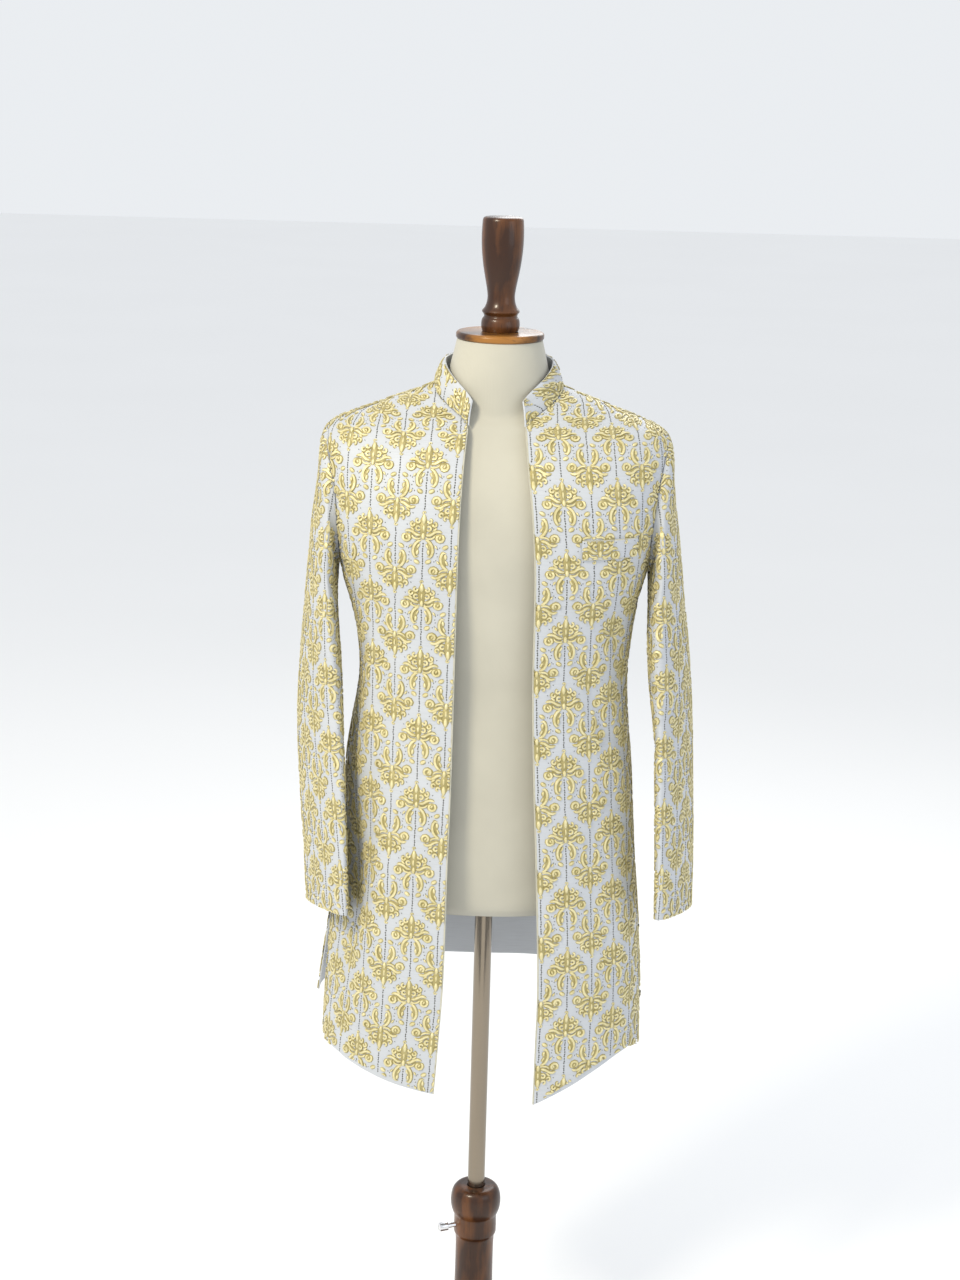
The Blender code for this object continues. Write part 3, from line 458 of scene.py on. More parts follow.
class CoatSizes(bpy.types.PropertyGroup):
    """Sizes of the cloth and its embroidery."""

    cloth: bpy.props.FloatProperty(
        name="Cloth", description="Thickness of the coat's wall", default=0.0022, unit="LENGTH"
    )
    thread: bpy.props.FloatProperty(
        name="Thread", description="How far a full stroke stands off the silk", default=0.0016, unit="LENGTH"
    )
    column: bpy.props.FloatProperty(
        name="Column", description="Distance between columns of motifs", default=0.03575, unit="LENGTH"
    )
    repeat: bpy.props.FloatProperty(
        name="Repeat", description="Distance between like motifs down a column", default=0.0904, unit="LENGTH"
    )
    edging: bpy.props.FloatProperty(
        name="Edging", description="Radius of the corded front edge", default=0.0013, unit="LENGTH"
    )


class CoatColours(bpy.types.PropertyGroup):
    """Colours of the coat and the form."""

    silk: bpy.props.FloatVectorProperty(
        name="Silk", description="Ivory ground of the coat", default=(0.54, 0.565, 0.605), subtype="COLOR"
    )
    gold: bpy.props.FloatVectorProperty(
        name="Gold", description="Body of the gold thread", default=(0.50, 0.42, 0.155), subtype="COLOR"
    )
    # Painted highlight on the gold thread's strands; also the colour of the corded edging's wraps
    highlight_and_cord_gold: bpy.props.FloatVectorProperty(
        name="Light gold", description="Bright strands of the thread",
        default=(0.84, 0.765, 0.46), subtype="COLOR",
    )
    # Painted shade on the sloping sides of each stroke, where it meets the silk, and on the padding
    gold_shade: bpy.props.FloatVectorProperty(
        name="Dark gold", description="Shaded foot of each stroke",
        default=(0.25, 0.20, 0.060), subtype="COLOR",
    )
    chain: bpy.props.FloatVectorProperty(
        name="Chain", description="Dark stitches of the chain lines",
        default=(0.075, 0.075, 0.065), subtype="COLOR",
    )
    cover: bpy.props.FloatVectorProperty(
        name="Cover", description="Jersey over the dress form", default=(0.52, 0.50, 0.42), subtype="COLOR"
    )
    wood: bpy.props.FloatVectorProperty(
        name="Wood", description="Dark tone of the varnished wood",
        default=(0.036, 0.013, 0.005), subtype="COLOR",
    )


def smooth_step(share):
    share = np.clip(share, 0.0, 1.0)
    return share * share * (3 - 2 * share)


def hermite(stations, values, targets):
    """A smooth reading of values that stand at increasing stations."""
    stations, values = np.asarray(stations, float), np.asarray(values, float)
    targets = np.clip(targets, stations[0], stations[-1])
    index = np.clip(np.searchsorted(stations, targets, side="right") - 1, 0, len(stations) - 2)
    spread = (slice(None),) + (None,) * (values.ndim - 1)
    rise = np.empty_like(values)
    rise[1:-1] = (values[2:] - values[:-2]) / (stations[2:] - stations[:-2])[spread]
    rise[0] = (values[1] - values[0]) / (stations[1] - stations[0])
    rise[-1] = (values[-1] - values[-2]) / (stations[-1] - stations[-2])
    widen = (...,) + (None,) * (values.ndim - 1)
    span = (stations[index + 1] - stations[index])[widen]
    t = (targets - stations[index])[widen] / span
    return (
        (2 * t**3 - 3 * t**2 + 1) * values[index]
        + (t**3 - 2 * t**2 + t) * span * rise[index]
        + (3 * t**2 - 2 * t**3) * values[index + 1]
        + (t**3 - t**2) * span * rise[index + 1]
    )


def read_table(rows, targets, column):
    """A smooth reading of one column of a table by its first column."""
    ordered = sorted(rows)
    return hermite([row[0] for row in ordered], [getattr(row, column) for row in ordered], targets)


def section_points(sections, angles, heights):
    """Points of a table's surface. Angle 0 is the middle of the front and 90 the wearer's left."""
    angles, heights = np.broadcast_arrays(np.asarray(angles, float), np.asarray(heights, float))
    turn = np.radians(angles)
    side, ahead = np.sin(turn), np.cos(turn)
    power = 2 / read_table(sections, heights, "power")
    front, back = read_table(sections, heights, "front"), read_table(sections, heights, "back")
    x = read_table(sections, heights, "half_width") * np.abs(side) ** power * np.sign(side)
    y = -np.where(ahead > 0, front, back) * np.abs(ahead) ** power * np.sign(ahead)
    return np.stack([x, y, heights], axis=-1)


def fold_depth(angles, heights):
    total = np.zeros(np.broadcast(angles, heights).shape)
    for fold in FOLDS + CREASES:
        away = (angles - fold.angle + 180) % 360 - 180
        away = away - fold.slant * (heights - fold.height)
        across, along = away / fold.half_angle, (heights - fold.height) / fold.half_height
        total += fold.depth * np.exp(-across * across - along * along)
    return total * smooth_step((FOLDS_TOP - heights) / FOLDS_FADE)


def unit(vectors):
    return vectors / np.maximum(np.linalg.norm(vectors, axis=-1, keepdims=True), 1e-12)


def coat_points(angles, heights):
    points = section_points(COAT_SECTIONS, angles, heights)
    radial = unit(points * (1, 1, 0))
    return points + radial * fold_depth(angles, heights)[..., None]


def back_points(angles, heights):
    """The back's surface: the body's, with the vent's edges flared away from the fronts."""
    signed = np.where(angles <= 180, angles, angles - 360)
    flare = np.where(signed > 0, VENT_FLARE_LEFT, -VENT_FLARE_RIGHT)
    away = (np.abs(signed) - 90) / VENT_FLARE_ANGLE
    share = smooth_step((VENT_TOP - heights) / (VENT_TOP - HEM_HEIGHT))
    points = coat_points(signed, heights)
    points[..., 0] += flare * share * np.exp(-away * away)
    return points


def angle_at_x(x, heights):
    half_width = read_table(COAT_SECTIONS, heights, "half_width")
    power = read_table(COAT_SECTIONS, heights, "power")
    return np.degrees(np.arcsin(np.minimum(1.0, np.abs(x) / half_width) ** (power / 2)))


def angle_at_depth(y, heights):
    ahead = y < 0
    front, back = read_table(COAT_SECTIONS, heights, "front"), read_table(COAT_SECTIONS, heights, "back")
    power = read_table(COAT_SECTIONS, heights, "power")
    share = np.minimum(1.0, np.abs(y) / np.where(ahead, front, back))
    from_middle = np.degrees(np.arccos(share ** (power / 2)))
    return np.where(ahead, from_middle, 180 - from_middle)


def armhole_depth(turn):
    return -np.where(np.sin(turn) > 0, ARMHOLE_FRONT, ARMHOLE_BACK) * np.sin(turn)


def armhole_height(turn):
    middle = (SHOULDER_TIP_HEIGHT + UNDERARM_HEIGHT) / 2
    return middle + (SHOULDER_TIP_HEIGHT - UNDERARM_HEIGHT) / 2 * np.cos(turn)


def armhole_turn(heights):
    """The turn round the armhole, 0 at the shoulder tip, whose height this is."""
    middle = (SHOULDER_TIP_HEIGHT + UNDERARM_HEIGHT) / 2
    reach = (SHOULDER_TIP_HEIGHT - UNDERARM_HEIGHT) / 2
    return np.arccos(np.clip((heights - middle) / reach, -1, 1))


def outer_angle(heights, behind):
    """The angle of a panel's outer edge: the side seam, the armhole or the shoulder seam."""
    inside = (heights > UNDERARM_HEIGHT) & (heights < SHOULDER_TIP_HEIGHT)
    turn = armhole_turn(heights) * (-1 if behind else 1)
    return np.where(inside, angle_at_depth(armhole_depth(turn), heights), 90.0)


def edge_angle(side, heights):
    """The angle of a front's inner edge, carried straight on past the neckline."""
    column = "left" if side > 0 else "right"
    return angle_at_x(read_table(FRONT_EDGES, heights, column), heights)


def neckline_angle(side, heights):
    """The angle of the neckline at these heights, for a front."""
    last = FRONT_EDGES[-1]
    start = np.degrees(np.arcsin((last.left if side > 0 else last.right) / NECK_HALF_WIDTH))
    share = np.clip((heights - FRONT_NECK_HEIGHT) / (NECK_POINT_HEIGHT - FRONT_NECK_HEIGHT), 0, 0.97)
    turn = np.radians(start + (90 - start) * share**NECK_CURVE)
    return angle_at_x(NECK_HALF_WIDTH * np.sin(turn), heights)


def crowded(lowest, highest, count, tight=TIGHT):
    """Places from lowest to highest that crowd at both ends, where an edge is rolled."""
    tight = np.array(tight)
    inner = np.linspace(lowest + tight[-1] * 2, highest - tight[-1] * 2, count)
    return np.concatenate([lowest + tight, inner, (highest - tight)[::-1]])


def body_levels():
    """Heights of a panel's rows, from the hem to the neck point."""
    tight = np.array(TIGHT)
    skirt = np.linspace(HEM_HEIGHT + TIGHT[-1] * 2, VENT_TOP, SKIRT_ROWS)
    waist = np.linspace(VENT_TOP, UNDERARM_HEIGHT, WAIST_ROWS)[1:]
    arm = armhole_height(np.linspace(pi, 0, ARMHOLE_ROWS))[1:]
    shoulder = np.linspace(SHOULDER_TIP_HEIGHT, FRONT_NECK_HEIGHT, SHOULDER_ROWS)[1:]
    neck = np.linspace(FRONT_NECK_HEIGHT, NECK_POINT_HEIGHT, NECK_ROWS)[1:]
    return np.concatenate([HEM_HEIGHT + tight, skirt, waist, arm, shoulder, neck])


def hem_share(heights):
    return 1 - smooth_step((heights - HEM_HEIGHT) / (VENT_TOP - HEM_HEIGHT))


def seam_angle(angles, heights, wide=SEAM_GAP / 2):
    """How many degrees half a seam's gap takes at each place."""
    step = 0.2
    ahead = section_points(COAT_SECTIONS, angles + step, heights)
    behind = section_points(COAT_SECTIONS, angles - step, heights)
    return wide * 2 * step / np.maximum(np.linalg.norm(ahead - behind, axis=-1), 1e-7)


def front_grid(side):
    """Angles and heights of one front's grid, from its edge outwards."""
    levels = body_levels()
    start = np.where(levels > FRONT_NECK_HEIGHT, neckline_angle(side, levels), edge_angle(side, levels))
    end = outer_angle(levels, behind=False)
    end = end - seam_angle(end, levels)
    shares = crowded(0.0, 1.0, FRONT_COLUMNS, np.array(TIGHT) / FRONT_WIDTH)
    angles = start[:, None] + (end - start)[:, None] * shares
    rise = read_table(HEM_RISES, shares, "left" if side > 0 else "right")
    heights = levels[:, None] + rise * hem_share(levels)[:, None]
    return side * angles, heights


def back_grid():
    """Angles and heights of the back's grid, from the wearer's left round to the right."""
    levels = body_levels()
    start = outer_angle(levels, behind=True)
    start = start + seam_angle(start, levels)
    shares = crowded(0.0, 1.0, BACK_COLUMNS, np.array(TIGHT) / BACK_WIDTH)
    angles = start[:, None] + (360 - 2 * start)[:, None] * shares
    heights = levels[:, None] + BACK_HEM_RISE * hem_share(levels)[:, None] + 0 * angles
    return angles, heights


def run_lengths(points, axis):
    """Lengths along a grid of points from its first row or column."""
    steps = np.linalg.norm(np.diff(points, axis=axis), axis=-1)
    zero = np.zeros_like(np.take(steps, [0], axis=axis))
    return np.concatenate([zero, np.cumsum(steps, axis=axis)], axis=axis)


def grid_normals(points, outward):
    """Normals of a grid of points, all on the side that outward points to, and whether rows then
    columns turn that way."""
    normals = unit(np.cross(np.gradient(points, axis=0), np.gradient(points, axis=1)))
    facing = float(np.sum(normals * outward)) > 0
    return (normals if facing else -normals), facing


def blend_table(table, rows, columns):
    """A table read between its rows and columns."""
    row = np.clip(rows, 0, table.shape[0] - 1.001)
    column = np.clip(columns, 0, table.shape[1] - 1.001)
    i, j = row.astype(int), column.astype(int)
    widen = (...,) + (None,) * (table.ndim - 2)
    down, along = (row - i)[widen], (column - j)[widen]
    first = table[i, j] * (1 - along) + table[i, j + 1] * along
    second = table[i + 1, j] * (1 - along) + table[i + 1, j + 1] * along
    return first * (1 - down) + second * down


class FlatCloth:
    """Cloth laid out flat: s runs across it and t along it, in metres, each to a point of the shell.
    bounds holds the lowest and highest s at each t, and limits the lowest and highest t at each s."""

    def __init__(self, lengths, points, outward, zero, edges, low_t, high_t):
        self.lengths, self.points = lengths, points
        self.normals, _ = grid_normals(points, outward)
        across = run_lengths(points, 1)
        across = across - across[:, [zero]]
        columns = points.shape[1]
        self.spread = np.linspace(across.min(), across.max(), columns * 2)
        self.column_at = np.array([np.interp(self.spread, row, np.arange(columns)) for row in across])
        numbers = np.arange(columns)
        self.low_s = np.array([np.interp(e, numbers, row) for e, row in zip(edges[0], across)])
        self.high_s = np.array([np.interp(e, numbers, row) for e, row in zip(edges[1], across)])
        self.low_t, self.high_t = low_t, high_t
        self.holes = []

    def clip(self, s, t, margin):
        """Places drawn in to lie this far inside the cloth's edges."""
        low, high = np.interp(t, self.lengths, self.low_s), np.interp(t, self.lengths, self.high_s)
        s = np.clip(s, low + margin, np.maximum(high - margin, low + margin))
        low, high = self.low_t(s) + margin, self.high_t(s) - margin
        return s, np.clip(t, low, np.maximum(high, low))

    def bare(self, s, t):
        """Whether places lie where another piece covers the cloth."""
        covered = np.zeros(np.shape(s), bool)
        for left, right, bottom, top in self.holes:
            covered |= (s > left) & (s < right) & (t > bottom) & (t < top)
        return covered

    def place(self, s, t, out):
        """Points of the shell's surface, moved out of it."""
        rows = (t - self.lengths[0]) / (self.lengths[1] - self.lengths[0])
        spread = (s - self.spread[0]) / (self.spread[1] - self.spread[0])
        columns = blend_table(self.column_at, rows, spread)
        normals = blend_table(self.normals, rows, columns)
        return blend_table(self.points, rows, columns) + normals * out[..., None]


def even_lengths(surface, guide, lowest):
    """Even lengths up a panel, measured on its guide line, and the height at each."""
    fine = np.linspace(lowest, NECK_POINT_HEIGHT, GUIDE_ROWS)
    run = run_lengths(surface(guide + 0 * fine, fine), 0)
    lengths = np.linspace(0, run[-1], FLAT_ROWS)
    return lengths, np.interp(lengths, run, fine)


def level_rows(along, points, lengths):
    """A grid of points read again at the same lengths along each of its columns."""
    columns = [hermite(run, column, lengths) for run, column in zip(along.T, points.transpose(1, 0, 2))]
    return np.array(columns).transpose(1, 0, 2)


def flat_front(side):
    """One front laid flat, s from its edge and t from the height of the hem's lowest point."""
    lengths, heights = even_lengths(coat_points, side * FRONT_GUIDE, HEM_HEIGHT - 0.01)
    start, end = edge_angle(side, heights), outer_angle(heights, behind=False)
    span = FRONT_FAR - start
    angles = start[:, None] + span[:, None] * np.linspace(0, 1, FRONT_FLAT_COLUMNS)
    points = coat_points(side * angles, heights[:, None])
    neck = np.where(heights > FRONT_NECK_HEIGHT, neckline_angle(side, heights), start)
    edges = [(limit - start) / span * (FRONT_FLAT_COLUMNS - 1) for limit in (neck, end)]
    column = "left" if side > 0 else "right"

    def low_t(s):
        rise = read_table(HEM_RISES, np.clip(s / FRONT_HEM_WIDTH, 0, 1), column)
        return np.interp(HEM_HEIGHT + rise, heights, lengths)

    cloth = FlatCloth(lengths, points, points * (1, 1, 0), 0, edges, low_t, lambda s: lengths[-1] + 0 * s)
    cloth.length_at = lambda height: float(np.interp(height, heights, lengths))
    return cloth


def flat_back():
    """The back laid flat, s from its middle towards the wearer's right."""
    lengths, heights = even_lengths(back_points, BACK_GUIDE, HEM_HEIGHT)
    angles = np.linspace(BACK_NEAR, 360 - BACK_NEAR, BACK_FLAT_COLUMNS)
    points = back_points(angles[None] + 0 * heights[:, None], heights[:, None])
    start = outer_angle(heights, behind=True)
    steps, last = 360 - 2 * BACK_NEAR, BACK_FLAT_COLUMNS - 1
    edges = [(limit - BACK_NEAR) / steps * last for limit in (start, 360 - start)]
    hem = float(np.interp(HEM_HEIGHT + BACK_HEM_RISE, heights, lengths))
    return FlatCloth(
        lengths, points, points * (1, 1, 0), last // 2, edges,
        lambda s: hem + 0 * s, lambda s: lengths[-1] + 0 * s,
    )


def armhole_ring(side, turns):
    """The sleeve's first ring, just outside the body's armhole edge."""
    heights = armhole_height(turns)
    seam = np.isclose(np.sin(turns), 0, atol=1e-6)
    angles = np.where(seam, 90.0, angle_at_depth(armhole_depth(turns), heights))
    points = section_points(COAT_SECTIONS, angles, heights)
    middle = np.array([0, 0, (SHOULDER_TIP_HEIGHT + UNDERARM_HEIGHT) / 2])
    inwards = unit(middle - points * (0, 1, 1))
    return (points + (SEAM_GAP * 1.3, 0, 0) + inwards * SEAM_GAP) * (side, 1, 1)


def sleeve_ring(ring, side, turns):
    """One ring of the sleeve: a flattened oval, turned, that reaches the stated sides."""
    middle = np.array([(ring.out_x + ring.in_x) / 2, -ring.forward, (ring.out_z + ring.in_z) / 2])
    turned = radians(ring.twist)
    reach = (ring.out_x - ring.in_x) / 2
    from_depth = ring.half_depth * sin(turned)
    thickness = max(reach**2 - from_depth**2, LEAST_SLEEVE_THICKNESS**2) ** 0.5 / cos(turned)
    across = np.array([cos(turned) * thickness, sin(turned) * thickness, (ring.out_z - ring.in_z) / 2])
    ahead = np.array([-sin(turned) * ring.half_depth, -cos(turned) * ring.half_depth, ring.lift])
    points = middle + np.cos(turns)[:, None] * across + np.sin(turns)[:, None] * ahead
    return points * (side, 1, 1)


def sleeve_grid(side, turns, row_length=SLEEVE_ROW_LENGTH):
    """Points of a sleeve from the cuff up to the armhole, for these turns round it."""
    table = SLEEVE_HEAD + (LEFT_ARM if side > 0 else RIGHT_ARM)
    first = armhole_ring(side, turns)
    top, foot = armhole_ring(side, np.array([0.0, pi]))
    seat = Ring(abs(top[0]), top[2], abs(foot[0]), foot[2], ARMHOLE_FRONT, 0, 0, 0)
    plain = sleeve_ring(seat, side, turns)
    rings = [first]
    for number, row in enumerate(table, start=1):
        keep = 1 - smooth_step(number / HEAD_ROWS)
        ring = sleeve_ring(row, side, turns) + (first - plain) * keep
        crease = ELBOW_CREASE * np.exp(-(((row.out_z - ELBOW_HEIGHT) / ELBOW_REACH) ** 2))
        ring[:, 1] += crease * np.maximum(0.0, np.sin(turns)) ** 2
        rings.append(ring)
    rings = np.array(rings[::-1])
    middles = [(row.out_z + row.in_z) / 2 for row in table[::-1]] + [armhole_height(pi / 2)]
    outs = [row.out_x for row in table[::-1]] + [abs(top[0])]
    stations = run_lengths(np.array([outs, middles]).T, 0)
    rows = crowded(0.0, stations[-1], int(stations[-1] / row_length))
    return hermite(stations, rings, rows)


def crease_sleeve(points, normals, turns):
    """The sleeve's finer creases, sunk along its normals."""
    depth = np.zeros(points.shape[:2])
    share = turns[None] / (2 * pi)
    for crease in SLEEVE_CREASES:
        away = (share - crease.share + 0.5) % 1 - 0.5 - crease.slant * (points[..., 2] - crease.height)
        across, along = away / crease.half_share, (points[..., 2] - crease.height) / crease.half_height
        depth += crease.depth * np.exp(-across * across - along * along)
    return points + normals * depth[..., None]


def sleeve_surface(side, turns):
    points = sleeve_grid(side, turns)
    whole = sleeve_grid(side, np.linspace(0, 2 * pi, 24, endpoint=False))
    outward = points - whole.mean(axis=1, keepdims=True)
    normals, _ = grid_normals(points, outward)
    return crease_sleeve(points, normals, turns), outward


def flat_sleeve(side, first, last):
    """A sleeve laid flat, s from its outer line towards the front and t from the cuff, kept
    between two seams that are given as shares of a turn."""
    steps = SLEEVE_FLAT_COLUMNS - 1
    turns = np.linspace(BACK_ARM_SEAM, 1 + BACK_ARM_SEAM, SLEEVE_FLAT_COLUMNS) * 2 * pi
    points, _ = sleeve_surface(side, turns)
    along = run_lengths(points, 0)
    lengths = np.linspace(0, along.max(), SLEEVE_FLAT_ROWS)
    level = level_rows(along, points, lengths)
    outward = level - level[:, :-1].mean(axis=1, keepdims=True)
    zero = int(round(-BACK_ARM_SEAM * steps))
    columns = [np.full(len(lengths), (share - BACK_ARM_SEAM) * steps) for share in (first, last)]
    across = run_lengths(level, 1)
    across = across - across[:, [zero]]
    top = along[-1]
    reached = np.array([np.interp(top[j], lengths, across[:, j]) for j in range(len(turns))])
    order = np.argsort(reached)
    high_s, high_t = reached[order], top[order]
    return FlatCloth(
        lengths, level, outward, zero, columns, lambda s: 0 * s, lambda s: np.interp(s, high_s, high_t)
    )


def by_direction(values, points):
    """A value for the front, the side and the back, read round the neck."""
    turn = np.abs(np.degrees(np.arctan2(points[..., 0], -points[..., 1])))
    ahead = values[0] + (values[1] - values[0]) * smooth_step((turn - 20) / 70)
    behind = values[1] + (values[2] - values[1]) * smooth_step((turn - 90) / 90)
    return np.where(turn < 90, ahead, behind)


def neck_base():
    """Points of the neckline from the wearer's right front, round the back, to the left front."""
    shares = crowded(0.0, 1.0, COLLAR_SIDE_COLUMNS, np.array(TIGHT) / COLLAR_SIDE)[: -len(TIGHT)]
    heights = FRONT_NECK_HEIGHT + (NECK_POINT_HEIGHT - FRONT_NECK_HEIGHT) * shares
    right = section_points(COAT_SECTIONS, -neckline_angle(-1, heights), heights)
    left = section_points(COAT_SECTIONS, neckline_angle(1, heights), heights)
    back_angles = np.linspace(-90, -270, COLLAR_BACK_COLUMNS + 1)
    back = section_points(COAT_SECTIONS, back_angles, NECK_POINT_HEIGHT)
    return np.concatenate([right, back, left[::-1]])


def collar_surface():
    base = neck_base()
    radial = unit(base * (1, 1, 0))
    shares = crowded(0.0, 1.0, COLLAR_ROWS, np.array(TIGHT) / COLLAR_HEIGHTS[1])[:, None]
    height = by_direction(COLLAR_HEIGHTS, base)[None] * shares
    lean = by_direction(COLLAR_LEANS, base)[None] * (0.35 * shares + 0.65 * shares**2)
    points = base[None] - radial[None] * lean[..., None]
    points[..., 2] += SEAM_GAP * 1.6 + height
    return points, np.broadcast_to(radial, points.shape)


def flat_collar():
    """The stand collar laid flat, s from the wearer's right end and t from its seam."""
    points, outward = collar_surface()
    lengths_all = run_lengths(points, 0)
    lengths = np.linspace(0, lengths_all.max(), COLLAR_FLAT_ROWS)
    level = level_rows(lengths_all, points, lengths)
    last = points.shape[1] - 1
    edges = [np.zeros(len(lengths)), np.full(len(lengths), float(last))]
    across = run_lengths(points, 1)[COLLAR_ROWS // 2]
    return FlatCloth(
        lengths, level, np.broadcast_to(outward[0], level.shape), 0, edges,
        lambda s: 0 * s, lambda s: np.interp(s, across, lengths_all[-1]),
    )


def add_object(name, points, faces, flat, material):
    """A mesh object of four-sided faces, with its flat lengths as its UV map."""
    used, where = np.unique(faces, return_inverse=True)
    faces = where.reshape(faces.shape)
    points, flat = points[used] + (STAND_X, 0, 0), flat[used]
    mesh = bpy.data.meshes.new(name)
    mesh.vertices.add(len(points))
    mesh.vertices.foreach_set("co", points.astype(np.float32).ravel())
    mesh.loops.add(faces.size)
    mesh.loops.foreach_set("vertex_index", faces.astype(np.int32).ravel())
    mesh.polygons.add(len(faces))
    mesh.polygons.foreach_set("loop_start", np.arange(0, faces.size, 4, dtype=np.int32))
    mesh.update(calc_edges=True)
    mesh.uv_layers.new(name="flat")
    mesh.uv_layers["flat"].data.foreach_set("uv", flat[faces.ravel()].astype(np.float32).ravel())
    mesh.polygons.foreach_set("use_smooth", np.ones(len(faces), dtype=bool))
    mesh.set_sharp_from_angle(angle=radians(60))
    if mesh.validate():
        raise RuntimeError(f"{name} had faulty faces")
    mesh.materials.append(material)
    thing = bpy.data.objects.new(name, mesh)
    bpy.context.scene.collection.objects.link(thing)
    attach(thing, "root")
    return thing


def grid_faces(rows, columns, first=0):
    """Faces of a grid of numbered points, turning from rows to columns."""
    number = first + np.arange(rows * columns).reshape(rows, columns)
    corners = (number[:-1, :-1], number[1:, :-1], number[1:, 1:], number[:-1, 1:])
    return np.stack(corners, axis=-1).reshape(-1, 4)


def tube_faces(number):
    """Faces of a tube of numbered points, a row for each ring."""
    beside = np.roll(number, -1, axis=1)
    return np.stack([number[:-1], beside[:-1], beside[1:], number[1:]], axis=-1).reshape(-1, 4)


def stand_for(node):
    """Hides the node that a piece replaces."""
    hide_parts(node)


def edge_weights(count):
    """How much each row or column takes part in the rolled edge."""
    weights = np.zeros(count)
    weights[: len(EDGE_WEIGHTS)] = EDGE_WEIGHTS
    weights[-len(EDGE_WEIGHTS) :] = EDGE_WEIGHTS[::-1]
    return weights


def make_wall(name, points, outward, thickness, material, flat=None):
    """A closed cloth wall on a grid of points, its edges rolled towards its middle."""
    rows, columns = points.shape[:2]
    normals, facing = grid_normals(points, outward)
    roll = thickness * EDGE_ROLL * np.maximum(edge_weights(rows)[:, None], edge_weights(columns)[None])
    outer = points - normals * roll[..., None]
    inner = points - normals * (thickness - roll)[..., None]
    if flat is None:
        flat = np.stack([run_lengths(points, 1), run_lengths(points, 0)], axis=-1)
    count = rows * columns
    number = np.arange(count).reshape(rows, columns)
    top = grid_faces(rows, columns)
    border = np.concatenate([number[:, 0], number[-1, 1:], number[-2::-1, -1], number[0, -2:0:-1]])
    ahead = np.roll(border, -1)
    rim = np.stack([ahead, border, border + count, ahead + count], axis=-1)
    faces = np.concatenate([top, top[:, ::-1] + count, rim])
    if not facing:
        faces = faces[:, ::-1]
    both = np.concatenate([outer.reshape(-1, 3), inner.reshape(-1, 3)])
    lengths = flat.reshape(-1, 2)
    return add_object(name, both, faces, np.concatenate([lengths, lengths]), material)


def make_cord(name, path, normals, radius, material, sides=8):
    """A round cord sewn along a path, its ends drawn in and closed."""
    tangent = unit(np.gradient(path, axis=0))
    across = unit(np.cross(tangent, normals))
    up = np.cross(across, tangent)
    sizes = np.full(len(path), radius)
    sizes[[0, -1]] = radius * 0.45
    turns = 2 * pi * np.arange(sides) / sides
    ring = np.cos(turns)[None, :, None] * up[:, None] + np.sin(turns)[None, :, None] * across[:, None]
    points = path[:, None] + ring * sizes[:, None, None]
    number = np.arange(points.shape[0] * sides).reshape(-1, sides)
    first, last = number[0], number[-1]
    caps = [[0, 1, 2, 7], [7, 2, 3, 6], [6, 3, 4, 5]]
    closed = np.concatenate([tube_faces(number), first[np.array(caps)][:, ::-1], last[np.array(caps)]])
    arms = points[:-1, :2] - path[:-1, None]
    volume = np.einsum("ij,ij->i", arms[:, 0], np.cross(tangent[:-1], arms[:, 1]))
    if volume.sum() > 0:
        closed = closed[:, ::-1]
    along = np.broadcast_to(run_lengths(path, 0)[:, None], (len(path), sides))
    flat = np.stack([np.broadcast_to(turns * radius, along.shape), along], axis=-1)
    return add_object(name, points.reshape(-1, 3), closed, flat.reshape(-1, 2), material)


class Threads:
    """Strokes of thread in metres: centre points, half widths and how high each section stands."""

    def __init__(self, middle, sides, samples, thread):
        self.centres, self.halves, self.rises = [], [], []
        shares = (1 - np.cos(np.linspace(0, pi, samples))) / 2
        hands = [(row, 1) for row in middle + sides] + [(row, -1) for row in sides]
        for row, hand in hands:
            steps = shares if isinstance(row, Leaf) else np.linspace(0, 1, samples)
            centre, blunt = self.path(row, steps)
            centre = centre * (hand, 1)
            profile = (1 - np.abs(2 * steps - 1) ** blunt) ** 0.5
            width = row.width * MM
            self.centres.append(centre * MM)
            self.halves.append(width / 2 * np.maximum(profile, 0.14))
            self.rises.append(min(thread, width * 0.34) * np.maximum(profile, 0.10))
        self.centres, self.halves, self.rises = map(np.array, (self.centres, self.halves, self.rises))

    @staticmethod
    def path(row, shares):
        """A row's centre points in millimetres, and how blunt its ends are."""
        if isinstance(row, Stroke):
            points = np.array(row.points, float)
            run = run_lengths(points, 0)
            return hermite(run, points, shares * run[-1]), 6
        if isinstance(row, Curl):
            turns = np.radians(row.start + row.sweep * shares)
            ring = np.stack([np.cos(turns), np.sin(turns)], axis=-1)
            return np.array([row.x, row.y]) + ring * row.radius * (1 - 0.25 * shares[:, None]), 8
        heading = np.array([cos(radians(row.angle)), sin(radians(row.angle))])
        return np.array([row.x, row.y]) + heading * (shares[:, None] - 0.5) * row.length, 2.4


